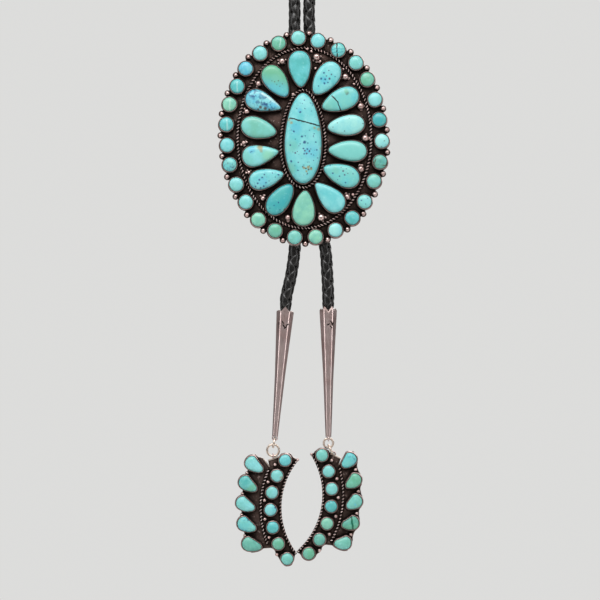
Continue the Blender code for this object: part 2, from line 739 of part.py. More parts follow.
def make_pendant(pendant, swing, eye_place, eye_axis):
    """Build one curved pendant that hangs by its eye, with its stones in their cups."""
    name = pendant["name"]
    aside, below = pendant["centre_from_eye"]
    back = eye_place + Vector((aside, PENDANT_THICKNESS / 2, below))
    place = Matrix.Translation(back) @ STAND_UP
    plate = curve_mesh(
        name + "_pendant_setting", pendant_outline(pendant), True, extrude=PENDANT_THICKNESS / 2
    )
    plate.transform(Matrix.Translation((0.0, 0.0, PENDANT_THICKNESS / 2)))
    setting = part(name + "_pendant_setting", plate, silver(), place, swing)
    features = pendant_features(pendant)
    cutter(name + "_pendant_features", features, place, setting, "UNION")
    bm = bmesh.new()
    eye(bm, eye_axis, Vector(), -EYE_STEM_LENGTH)
    upright = Matrix.Translation(eye_place)
    cutter(name + "_pendant_eye", mesh_from(bm, name + "_eye"), upright, setting, "UNION")
    cutter(name + "_pendant_hole", eye_hole(eye_axis), upright, setting, "DIFFERENCE")

    base = PENDANT_THICKNESS + CUP_FLOOR + GAP
    top = PENDANT_THICKNESS + PENDANT_WALL_HEIGHT
    for stone, colour, grown in pendant_stones(pendant):
        node = f"{name}_pendant_{stone}"
        mesh = cabochon(node, grown(0.0), base, top, PENDANT_DOME)
        part(node, mesh, turquoise(colour), place, swing)


def make_left_drop():
    """Build the left tip and pendant: the upper ring edge-on, the lower ring face-on."""
    depth = Vector((0.0, 1.0, 0.0))
    hole = make_tip("left_tip", LEFT_TIP_TOP, LEFT_TIP_LEAN, True, depth)
    make_cord_end("left_cord_end", LEFT_END_ROUTE, LEFT_TIP_TOP, LEFT_TIP_LEAN)
    pendant_eye = hole + LEFT_PENDANT_HANG
    radius = LEFT_LOWER_RING_RADIUS
    lower_centre = pendant_eye + Vector((0.0, 0.0, radius))
    pivot = lower_centre + Vector((0.0, 0.0, radius))
    swing = empty("left_swing", pivot)
    make_ring("left_pendant_ring", lower_centre, depth, radius, swing)
    upper_end = pivot - Vector((0.0, 0.0, LINK_OFFSET))
    line = upper_end - hole
    make_ring("left_tip_ring", (hole + upper_end) / 2, line.cross(depth), line.length / 2)
    make_pendant(LEFT_PENDANT, swing, pendant_eye, Vector((1.0, 0.0, 0.0)))


def make_right_drop():
    """Build the right tip and pendant: the upper ring face-on, the lower ring edge-on."""
    depth = Vector((0.0, 1.0, 0.0))
    width = Vector((1.0, 0.0, 0.0))
    pivot = make_tip("right_tip", RIGHT_TIP_TOP, RIGHT_TIP_LEAN, False, width)
    make_cord_end("right_cord_end", RIGHT_END_ROUTE, RIGHT_TIP_TOP, RIGHT_TIP_LEAN)
    pendant_eye = pivot + RIGHT_PENDANT_HANG
    swing = empty("right_swing", pivot)
    radius = RIGHT_UPPER_RING_RADIUS
    make_ring("right_tip_ring", pivot - Vector((0.0, 0.0, radius)), depth, radius, swing)
    upper_end = pivot - Vector((0.0, 0.0, 2 * radius - LINK_OFFSET))
    line = pendant_eye - upper_end
    lower_centre = (pendant_eye + upper_end) / 2
    make_ring("right_pendant_ring", lower_centre, line.cross(depth), line.length / 2, swing)
    make_pendant(RIGHT_PENDANT, swing, pendant_eye, depth)


make_slide()
make_neck_cord()
make_left_drop()
make_right_drop()
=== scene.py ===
"""Looks of the bolo tie: braided leather, turquoise cabochons and hand-worked silver.

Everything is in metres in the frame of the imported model. Faces are laid out flat, with u to the
viewer's right, v up and a height that stands out to the front.
"""
import math
import random

import bmesh
import bpy
import numpy as np
from mathutils import Matrix, Vector, noise


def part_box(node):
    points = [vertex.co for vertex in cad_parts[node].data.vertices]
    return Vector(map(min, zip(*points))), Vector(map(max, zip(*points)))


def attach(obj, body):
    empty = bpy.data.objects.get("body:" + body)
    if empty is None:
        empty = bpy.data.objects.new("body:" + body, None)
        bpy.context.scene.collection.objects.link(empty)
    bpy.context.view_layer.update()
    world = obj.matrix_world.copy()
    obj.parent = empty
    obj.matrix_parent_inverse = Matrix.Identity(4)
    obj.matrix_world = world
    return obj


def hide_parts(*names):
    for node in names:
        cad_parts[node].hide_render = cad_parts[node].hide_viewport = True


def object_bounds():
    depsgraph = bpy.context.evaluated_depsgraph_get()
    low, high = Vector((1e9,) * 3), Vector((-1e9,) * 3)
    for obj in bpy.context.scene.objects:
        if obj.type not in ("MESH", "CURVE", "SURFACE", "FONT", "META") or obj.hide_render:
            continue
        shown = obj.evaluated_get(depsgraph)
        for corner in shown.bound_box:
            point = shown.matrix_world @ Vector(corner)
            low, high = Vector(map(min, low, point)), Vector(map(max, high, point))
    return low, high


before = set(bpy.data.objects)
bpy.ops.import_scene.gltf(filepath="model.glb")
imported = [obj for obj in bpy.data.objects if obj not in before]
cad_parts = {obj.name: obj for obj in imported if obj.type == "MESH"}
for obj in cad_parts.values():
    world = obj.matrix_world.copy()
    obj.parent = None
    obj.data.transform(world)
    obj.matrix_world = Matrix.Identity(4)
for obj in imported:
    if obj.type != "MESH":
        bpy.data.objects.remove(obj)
CAD_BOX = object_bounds()
MM = 0.001

# Places taken from the frame
SETTING_LOW, SETTING_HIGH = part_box("slide_setting")
SLIDE_Z = (SETTING_LOW[2] + SETTING_HIGH[2]) / 2
PLATE_BACK_Y = SETTING_HIGH[1]
CORD_LOW, CORD_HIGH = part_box("left_cord_end")
FRONT_Y = (CORD_LOW[1] + CORD_HIGH[1]) / 2

# View: the photo shows 0.4 mm in each of its 600 pixels
PIXEL = 0.4 * MM
PHOTO_SIZE = 600
PHOTO_SLIDE = (304.0, 137.0)
LENS = 100.0
SENSOR = 36.0
SCALE_PLANE_Y = FRONT_Y - 5.0 * MM
CAMERA_SHIFT = Vector((-0.16, 0.0, 0.5)) * MM

# Cord, with the routes of its free ends as the model has them
CORD_DIAMETER = 5.2 * MM
CORD_SPACING = 6.2 * MM
CORD_MIDDLE_X = -0.9 * MM
GAP = 0.3 * MM
NECK_ROUTE = (
    (0.0, 0.0, 0.0),
    (27.0, -5.0, -4.0),
    (50.0, -22.0, -15.0),
    (64.0, -48.0, -33.0),
    (66.0, -76.0, -60.0),
    (56.0, -102.0, -95.0),
    (38.0, -122.0, -135.0),
    (19.0, -134.0, -174.0),
    (6.0, -139.5, -209.0),
)
PARALLEL_HEIGHTS = (-223.0, -240.0, -258.0)
LEFT_END_ROUTE = ((-4.0, -8.0), (-4.0, -18.0), (-3.7, -31.0), (-3.8, -43.0), (-5.2, -54.0))
RIGHT_END_ROUTE = ((2.2, -8.0), (2.5, -17.0), (5.2, -30.0), (8.3, -43.0), (9.2, -54.0))
BRAID_PITCH = 13.6 * MM
BRAID_STEP = 0.62 * MM
STRAND_HALF_WIDTH = 1.75 * MM
STRAND_HALF_THICKNESS = 0.62 * MM
STRAND_SECTION = 16
STRAND_POWER = 0.8
RIBBON_POWER = 0.75
CORE_SECTION = 12
CORE_STRIDE = 4
BRAID_WAVE = 0.2 * MM
BRAID_RADIUS = CORD_DIAMETER / 2 - BRAID_WAVE - STRAND_HALF_THICKNESS
BRAID_CORE_RADIUS = BRAID_RADIUS - 0.3 * MM

# Tips
TIP_LENGTH = 50.6 * MM
TIP_TOP_DROP = 69.2 * MM
TIP_TOP_RADIUS = 3.6 * MM
TIP_WAIST_RADIUS = 2.15 * MM
TIP_WAIST_DEPTH = 25.6 * MM
TIP_END_RADIUS = 1.2 * MM
TIP_BEVEL = math.radians(2.8)
TIP_STEPS = 22
TIP_FOOT_SHARE = 0.75
TIP_FOOT_DROP = 0.1 * MM
TIP_SHARP_DEG = 22.0
TIP_POINT_HEIGHT = 1.7 * MM
RIM_LIP = 0.05 * MM
# Tip faces that face further up than this get painted shade: a darker, rougher silver
PAINTED_SHADE_UPWARD = 0.15
STROKE_HALF_WIDTH = 0.27 * MM
STROKE_DEPTH = 0.3
STROKE_ROWS = 9
STROKE_SIDES = 10
# Pixel of the photo, degrees of slant, length in mm
LEFT_STROKES = (
    (277.7, 322.5, 20.0, 1.6), (278.6, 325.2, 20.0, 1.5), (282.4, 321.2, -30.0, 1.4),
    (283.4, 325.0, -34.0, 1.7), (285.0, 326.4, 50.0, 1.6), (286.8, 323.8, 50.0, 1.5),
)
RIGHT_STROKES = (
    (331.3, 321.2, -36.0, 1.7), (332.2, 323.8, -36.0, 1.7), (330.8, 325.6, -40.0, 1.6),
    (328.2, 323.2, 64.0, 1.4), (333.2, 321.8, -30.0, 1.4),
)
# Heights of the rim in millimetres, by degrees from the front
LEFT_CROWN = ((0, 1.9), (30, 0.0), (60, 0.2), (90, 0.0), (120, 0.2), (150, 0.0), (180, 1.7))
RIGHT_CROWN = ((0, 0.0), (30, 2.0), (60, 0.5), (90, 1.1), (120, 0.2), (150, 1.7), (180, 0.0))
LEFT_RIM_CHAMFER = 0.3 * MM
RIGHT_RIM_CHAMFER = 0.8 * MM
SOCKET_TOP_RADIUS = 2.62 * MM
SOCKET_DEPTH = 5.9 * MM
SOCKET_FLOOR_WIDTH = 0.9
SOCKET_FLOOR_DEPTH = 0.6
SOCKET_CORD_SHARE = 0.76
NECKING_HEIGHT = 1.2 * MM
LEFT_TIP_TOP = Vector((-7.7 * MM, FRONT_Y, SLIDE_Z - TIP_TOP_DROP))
LEFT_TIP_LEAN = math.radians(4.7)
RIGHT_TIP_TOP = Vector((9.6 * MM, FRONT_Y, SLIDE_Z - TIP_TOP_DROP))
RIGHT_TIP_LEAN = math.radians(-0.1)
WIRE_RADIUS = 0.4 * MM
EYE_DROP = 0.65 * MM
EYE_WIRE = 0.28 * MM
EYE_RADIUS = 0.98 * MM
EYE_SEGMENTS = 32
EYE_SIDES = 10
EYE_STEM_DROP = 1.6 * MM
EYE_STEM_RADIUS = 0.75 * MM
EYE_STEM_SQUASH = 0.6
RING_WIRE_RADIUS = 1.1 * WIRE_RADIUS
LINK_OFFSET = 2 * WIRE_RADIUS + GAP
LEFT_LOWER_RING_RADIUS = 2.4 * MM
RIGHT_UPPER_RING_RADIUS = 1.9 * MM

# Slide
PLATE_THICKNESS = 1.2 * MM
ROUND_RING_X = 30.8 * MM
ROUND_RING_Z = 40.0 * MM
ROUND_STONE_RADIUS = 2.65 * MM
ROUND_HEIGHT = 2.0 * MM
ROUND_DOME = 1.0 * MM
ROUND_LAYOUT = (
    # degrees round the ring, share of the ring's size, look
    (94.6, 1.000, "aqua"),
    (79.7, 0.984, "cyan"),
    (63.4, 0.978, "cross_cracked"),
    (48.3, 1.001, "aqua"),
    (35.5, 1.001, "green"),
    (22.7, 0.990, "aqua"),
    (10.6, 0.987, "deep_blue"),
    (-1.8, 1.004, "pale"),
    (-13.8, 1.009, "matrix"),
    (-25.6, 0.999, "sea"),
    (-39.2, 1.005, "sky"),
    (-52.2, 1.012, "teal"),
    (-66.4, 1.004, "pale"),
    (-81.6, 0.999, "pale_green"),
    (-97.2, 1.001, "sea"),
    (-112.3, 1.001, "green"),
    (-126.2, 1.011, "pale_green"),
    (-139.8, 0.994, "sky"),
    (-152.2, 0.997, "aqua"),
    (-164.5, 1.003, "speckled_round"),
    (-175.8, 1.004, "cyan"),
    # These three stones and the last one each carry a painted reflection: a pale upright streak of
    # light
    (172.5, 1.020, "streaked"),
    (161.0, 1.026, "streaked_pale"),
    (149.5, 1.011, "streaked"),
    (137.8, 1.027, "blue"),
    (124.2, 1.019, "aqua"),
    # This stone carries a painted reflection too
    (109.5, 0.998, "streaked_green"),
)
PEAR_RING_X = 18.2 * MM
PEAR_RING_Z = 27.8 * MM
PEAR_POINTS = 56
PEAR_WALL_HEIGHT = 2.2 * MM
PEAR_DOME = 1.3 * MM
PEAR_LAYOUT = (
    # degrees round the ring, share of the ring's size, degrees of the stone's axis,
    # length and width in millimetres, taper, look
    (95.7, 0.994, 94.0, 14.2, 8.5, 0.30, "teal"),
    (61.1, 0.970, 53.5, 14.6, 8.8, 0.24, "second"),
    (34.5, 0.951, 22.8, 15.0, 8.4, 0.28, "cracked"),
    (11.0, 0.931, 7.2, 14.4, 7.7, 0.22, "fourth"),
    (-11.1, 0.965, -2.5, 14.9, 7.8, 0.30, "plain_aqua"),
    (-33.1, 0.965, -21.5, 14.7, 8.3, 0.32, "sixth"),
    (-57.6, 1.000, -44.7, 14.5, 8.3, 0.44, "cyan"),
    (-90.6, 1.012, -94.5, 13.7, 8.5, 0.32, "pale_green"),
    (-120.9, 1.029, -128.3, 14.1, 7.8, 0.20, "ninth"),
    (-145.2, 1.015, -164.9, 13.8, 7.5, 0.36, "tenth"),
    (-165.7, 0.992, -169.4, 14.2, 8.0, 0.50, "two_tone"),
    (-187.7, 1.009, -195.0, 13.9, 8.0, 0.28, "sea"),
    (-209.6, 1.031, -199.6, 14.4, 7.8, 0.55, "blue_pear"),
    (-232.6, 1.014, -233.8, 14.0, 8.4, 0.26, "gradient"),
)
CENTER_X = -0.5 * MM
CENTER_WIDEST_Z = -2.8 * MM
CENTER_WIDTH = 14.4 * MM
CENTER_NARROWING = 0.12
CENTER_ABOVE = 20.3 * MM
CENTER_BELOW = 15.3 * MM
CENTER_WALL_HEIGHT = 2.5 * MM
CENTER_DOME = 1.8 * MM
STONE_SECTIONS = (
    # offset in mm, share of the dome's height
    (0.10, -0.30),
    (0.08, 0.02),
    (-0.04, 0.28),
    (-0.26, 0.50),
    (-0.58, 0.68),
    (-0.98, 0.82),
    (-1.45, 0.92),
)
BEZEL_SECTIONS = (
    # offset in mm, share of the wall's height
    (0.66, -0.15),
    (0.64, 0.25),
    (0.58, 0.65),
    (0.50, 0.90),
    (0.41, 0.99),
    (0.27, 1.03),
    (0.14, 1.00),
    (0.08, 0.90),
    (0.08, -0.15),
)
STONE_TOP = (
    # share of the last section's width, share of the dome's height
    (0.6, 0.98),
    (0.22, 1.0),
)
STONE_FOOT = 0.1 * MM
STONE_SLANT = 0.05
ROUGH_EDGE = 0.12 * MM
BEZEL_DENT = 0.06 * MM
DENT_GRAIN = 900.0
# Numbers that make each stone's edge different
ROUND_SEED = 0.5
PEAR_SEED = 40.5
CENTER_SEED = 70.5
PENDANT_PEAR_SEED = 80.5
PENDANT_ROUND_SEED = 90.5
WALL = 0.4 * MM
INNER_WIRE_MARGIN = 1.0 * MM
WIRE_RING_RADIUS = 0.56 * MM
OUTER_WIRE_X = 26.7 * MM
OUTER_WIRE_Z = 36.0 * MM
ROPE_STEP = 1.35 * MM
ROPE_SLANT = math.radians(52.0)
ROPE_FINENESS = 0.2 * MM
# Shares of a twisted wire's radius
BEAD_LIFT = 0.3
BEAD_HALF_LENGTH = 1.2
BEAD_HALF_WIDTH = 0.42
BEAD_HALF_HEIGHT = 0.6
GROOVE_HALF_HEIGHT = 0.6
GROOVE_HALF_WIDTH = 0.85
GROOVE_SIDES = 10
INNER_WIRE_HEIGHT = 0.7 * MM
OUTER_WIRE_HEIGHT = 0.45 * MM
INNER_WIRE_STEPS = 160
OUTER_WIRE_STEPS = 400
# radii in mm, clockwise from the gap right of the top pear
INNER_BALLS = (1.5, 1.35, 1.35, 1.4, 1.35, 1.2, 1.5, 1.15, 1.0, 0.85, 0.9, 1.1, 1.2, 1.3)
# pixel of the photo, radius in mm
EXTRA_BALLS = (
    (292.7, 93.6, 0.85), (306.6, 48.2, 0.6), (311.0, 50.4, 0.65), (315.2, 67.5, 0.7),
    (342.6, 68.0, 0.6), (353.6, 83.0, 0.6), (284.0, 61.5, 0.7), (319.5, 60.5, 0.75),
    (352.5, 193.5, 0.7), (322.0, 218.5, 0.7), (288.5, 219.0, 0.6), (263.0, 198.5, 0.7),
)
INNER_BALL_X = 24.3 * MM
INNER_BALL_Z = 33.0 * MM
OUTER_BALL_RADIUS = 0.9 * MM
BALL_ROWS = 11
BALL_SIDES = 18
BALL_VARIATION = 0.12
BALL_GRAIN = 300.0
# Heights of the balls' centres, as shares of their radii
OUTER_BALL_LIFT = 0.5
INNER_BALL_LIFT = 0.6
EXTRA_BALL_LIFT = 0.4
CRUMB_LIFT = 0.3
CRUMB_SEED = 5
CRUMBS = 4
CRUMB_SIZES = (0.35, 0.65)
CRUMB_REACH = 0.4
# How far the slide's plate stands out from its outer stones, its outer balls and their ring
ROUND_COVER = 0.8 * MM
BALL_COVER = 0.45 * MM
EDGE_REACH = 1.2 * MM
EDGE_POINTS = 720
PLATE_EDGE = 0.3 * MM
PLATE_EDGE_CUT = 0.3
OUTER_BALL_MARGIN = 2.5 * MM

# Pendants
PENDANT_THICKNESS = 1.0 * MM
BAND_INNER = 30.1 * MM
BAND_ROUNDS_EDGE = 37.4 * MM
BAND_PEARS_EDGE = 46.4 * MM
BAND_TAB_EDGE = 40.4 * MM
BAND_NOTCH_EDGE = 38.8 * MM
BAND_TOP_DEG = 41.0
BAND_TOP_EDGE_DEG = 37.0
BAND_FOOT_DEG = -41.0
BAND_NOTCH_DEG = 26.5
BAND_TAB_DEG = 29.3
BAND_SHOULDER_DEG = 34.5
BAND_PEARS_TOP_DEG = 31.0
BAND_PEARS_FOOT_DEG = -25.0
PENDANT_ROUND_RADIUS = 2.25 * MM
PENDANT_PEAR_TAPER = 0.3
PENDANT_WALL_HEIGHT = 1.7 * MM
PENDANT_DOME = 1.0 * MM
INNER_EDGE_WIRE_ARC = 30.6 * MM
MIDDLE_WIRE_ARC = 38.6 * MM
MIDDLE_WIRE_DEGS = (25.0, -21.0)
PENDANT_WIRE_RADIUS = 0.46 * MM
PLATE_MARGIN = 0.4 * MM
HUG_STEP = 0.25 * MM
HUG_SMOOTHINGS = 3
BAND_STEPS = 40
FOOT_STEPS = 8
WIRE_STEPS = 90
PENDANT_ROUND_SIDES = 32
MARK_SIDES = 8
MARK_STEPS = 12
RIM_STEPS = 8
RIM_SIDES = 8
PLATE_RIM_RADIUS = 0.28 * MM
PEAR_CUT_REACH = 2.0 * MM
PEAR_CUT_SLOPE = 0.28
PENDANT_BALL_MARGIN = 2.55 * MM
PENDANT_BALL_RADIUS = 0.72 * MM
PENDANT_BALL_HEIGHT = 0.4 * MM
PENDANT_WIRE_HEIGHT = 0.4 * MM
WIRE_TOP_DEG = BAND_TOP_DEG - 1.0
CORNER_BALL_DEG = BAND_TOP_DEG - 0.6
CORNER_BALL_RADIUS = 0.6 * MM
EDGE_BALL_MARGIN = 1.7 * MM
LEFT_PENDANT = {
    "name": "left",
    "side": -1,
    "centre_from_eye": (33.6 * MM, -20.7 * MM),
    "turn_deg": -1.15,
    "foot_deg": -35.3,
    "foot_bulge_deg": -40.5,
    "wire_foot_deg": -36.3,
    "round_arc": 34.6 * MM,
    "round_degs": (35.0, -35.0),
    "pear_arc": 44.6 * MM,
    "pear_degs": (24.1, -18.1),
    "pear_size": (7.7 * MM, 5.3 * MM),
    "pear_tilts": (14, 24, 26, 36, 36),
    "pear_looks": ("aqua", "blue_green_edge", "sky", "speckled_round", "deep_sea"),
    "round_looks": ("cyan", "sky", "aqua", "cyan", "teal", "green", "sea"),
}
RIGHT_PENDANT = {
    "name": "right",
    "side": 1,
    "centre_from_eye": (-34.5 * MM, -16.3 * MM),
    "turn_deg": -8.2,
    "foot_deg": -39.0,
    "foot_bulge_deg": -43.6,
    "wire_foot_deg": -40.8,
    "round_arc": 34.1 * MM,
    "round_degs": (36.3, -35.3),
    "pear_arc": 43.0 * MM,
    "pear_degs": (26.9, -18.5),
    "pear_size": (6.6 * MM, 5.1 * MM),
    "pear_tilts": (28, 34, 42, 34, 34),
    "pear_looks": ("speckled_round", "green", "sea", "seamed", "sea"),
    "round_looks": ("sea", "sky", "sky", "teal", "pale_green", "deep_sea", "green"),
}
PLATE_TOP = {
    "slide": PLATE_THICKNESS,
    "left_pendant": PENDANT_THICKNESS,
    "right_pendant": PENDANT_THICKNESS,
}
# From the hole under each tip to the eye of its pendant
LEFT_PENDANT_HANG = Vector((-0.7, 0.0, -7.4)) * MM
RIGHT_PENDANT_HANG = Vector((1.8, 0.0, -6.35)) * MM

# Light that the polish of a stone adds everywhere, and colours as a screen shows them, 0 to 255
GLOSS = 0.045
AQUA = (130, 200, 193)
SKY = (142, 210, 212)
CYAN = (114, 196, 200)
BLUE = (104, 184, 208)
DEEP_BLUE = (84, 168, 175)
TEAL = (98, 178, 176)
DEEP_SEA = (104, 166, 154)
SEA = (124, 188, 172)
GREEN = (116, 180, 150)
PALE_GREEN = (146, 206, 180)
PALE = (164, 222, 216)
# Pale colour of the painted highlights and painted reflections drawn on some stones
PAINTED_HIGHLIGHT = (205, 232, 226)
DARK_VEIN = (22, 30, 32)
INDIGO = (26, 74, 122)
VIOLET = (92, 60, 96)
BROWN = (92, 74, 56)
GOLD = (158, 146, 104)
SEAM = (56, 110, 92)

TURQUOISES = (
    # name, two colours that cloud into each other, marks, mottle, specks, veins
    ("aqua", AQUA, SKY, "small"),
    ("sky", SKY, AQUA, "small"),
    ("pale", PALE, SKY, "small"),
    ("plain_aqua", AQUA, AQUA, "none", 0.5),
    ("cyan", CYAN, SKY, "small"),
    ("blue", BLUE, SKY, "none", 0.8, 0.3),
    ("deep_blue", DEEP_BLUE, TEAL, "small"),
    ("teal", TEAL, CYAN, "small", 0.7),
    ("sea", SEA, AQUA, "small"),
    ("deep_sea", DEEP_SEA, SEA),
    ("green", GREEN, SEA),
    ("pale_green", PALE_GREEN, SEA),
    ("second", CYAN, SKY, "second"),
    ("fourth", PALE, SKY, "fourth"),
    ("sixth", CYAN, AQUA, "sixth"),
    ("ninth", DEEP_BLUE, TEAL, "ninth"),
    ("tenth", CYAN, SKY, "tenth", 0.8, 0.2),
    ("speckled_round", AQUA, CYAN, "none", 0.8, 0.5),
    ("two_tone", AQUA, SKY, "two_tone"),
    ("matrix", DEEP_SEA, SEA, "none", 0.8, 0.3, 0.9),
    # The next three looks carry painted reflections: pale upright streaks of light
    ("streaked", TEAL, CYAN, "streaked"),
    ("streaked_green", GREEN, SEA, "streaked"),
    ("streaked_pale", PALE_GREEN, SEA, "streaked"),
    ("seamed", DEEP_SEA, GREEN, "seamed"),
    ("cracked", AQUA, CYAN, "cracked"),
    ("cross_cracked", AQUA, CYAN, "cross_cracked"),
    ("gradient", CYAN, BLUE, "gradient"),
    ("blue_pear", BLUE, SKY, "blue_pear", 0.9, 0.2),
    ("blue_green_edge", AQUA, TEAL, "green_edge"),
    ("center", CYAN, SKY, "center", 0.9),
)

# Marks on the stones, at pixels of the photo. They are drawn in the order of these tables.
FADE_LEAN = 0.3
FADE_SHIFT = -3.4 * MM
FADES = {
    # colour at the top, upper pixel, lower pixel
    "gradient": ((GREEN, (270.0, 73.0), (280.0, 92.0)),),
}
STAINS_BELOW = {
    # colour, strength, wander in mm, then for each stain its pixel and its reach in mm
    "center": (
        (BLUE, 0.5, 1.2, ((296.0, 128.0, 3.2),)),
        (BLUE, 0.45, 1.2, ((311.0, 151.0, 4.2),)),
        (BLUE, 0.6, 1.2, ((299.0, 110.0, 1.4),)),
        (SEA, 0.7, 1.2, ((290.0, 168.0, 3.4),)),
        (SEA, 0.5, 1.2, ((291.5, 146.0, 3.6),)),
        (GOLD, 0.7, 1.0, (
            (288.8, 119.5, 0.9), (290.8, 123.0, 0.9), (314.0, 127.5, 0.9), (318.0, 129.0, 0.9),
        )),
        (GOLD, 0.5, 1.6, ((320.5, 148.0, 0.9),)),
    ),
    "cracked": (
        (BROWN, 0.55, 1.4, ((346.5, 93.0, 1.0),)),
        (GREEN, 0.7, 1.4, ((345.5, 90.5, 1.3),)),
        (SEA, 0.5, 1.2, ((330.0, 104.0, 4.0),)),
    ),
    "two_tone": (
        (PALE_GREEN, 0.8, 1.2, ((268.0, 155.0, 3.2),)),
        (BLUE, 0.75, 1.2, ((251.5, 149.0, 2.2),)),
    ),
}
LINES = {
    # colour, strength, wander in mm, how far it sinks, first and last pixel, width in mm
    "center": ((DARK_VEIN, 1.0, 0.7, 3.0, (289.5, 118.0), (320.5, 126.0), 0.36),),
    "cracked": (
        (DARK_VEIN, 1.0, 0.7, 3.0, (331.5, 95.8), (337.0, 101.5), 0.33),
        (DARK_VEIN, 1.0, 0.7, 3.0, (337.0, 101.5), (340.3, 111.0), 0.33),
    ),
    "cross_cracked": (
        (DARK_VEIN, 1.0, 0.7, 3.0, (336.2, 43.5), (336.8, 57.5), 0.34),
        (DEEP_BLUE, 1.0, 0.7, 3.0, (331.5, 49.4), (344.5, 48.6), 0.2),
        (DEEP_BLUE, 1.0, 0.7, 3.0, (331.5, 52.6), (344.5, 51.8), 0.2),
    ),
    # Painted highlight: a pale streak of light across the blue pear
    "blue_pear": ((PAINTED_HIGHLIGHT, 0.6, 0.8, 0.0, (262.0, 93.0), (279.0, 104.5), 0.7),),
    # Painted reflections: pale upright streaks of a tall light, one on each of four outer stones
    "streaked": (
        (PAINTED_HIGHLIGHT, 0.36, 1.0, 0.0, (236.6, 81.5), (237.6, 91.0), 0.42),
        (PAINTED_HIGHLIGHT, 0.36, 1.0, 0.0, (229.8, 99.5), (229.4, 109.5), 0.42),
        (PAINTED_HIGHLIGHT, 0.36, 1.0, 0.0, (226.4, 119.5), (227.4, 129.0), 0.42),
        (PAINTED_HIGHLIGHT, 0.36, 1.0, 0.0, (280.4, 38.5), (279.4, 47.0), 0.42),
    ),
    "green_edge": ((GREEN, 0.7, 0.8, 0.0, (247.5, 490.0), (253.0, 486.0), 1.5),),
    "seamed": ((SEAM, 1.0, 0.7, 3.0, (351.5, 517.5), (352.5, 528.5), 0.6),),
}
SPECK_FIELDS = {
    # colour, grain, how much is covered, strength, shift of the grain,
    # first and last pixel, width and wander in mm
    "center": ((INDIGO, 760.0, 0.055, 0.8, 2.4, (303.0, 108.0), (303.0, 172.0), 7.0, 0.0),),
    "blue_pear": (
        (INDIGO, 260.0, 0.3, 0.55, 3.3, (253.0, 93.0), (268.0, 104.0), 2.6, 1.6),
        (INDIGO, 620.0, 0.12, 0.7, 6.1, (253.0, 93.0), (268.0, 104.0), 2.6, 1.6),
    ),
    "two_tone": ((INDIGO, 1300.0, 0.12, 0.7, 2.2, (251.0, 151.5), (251.05, 151.5), 1.8, 1.0),),
}
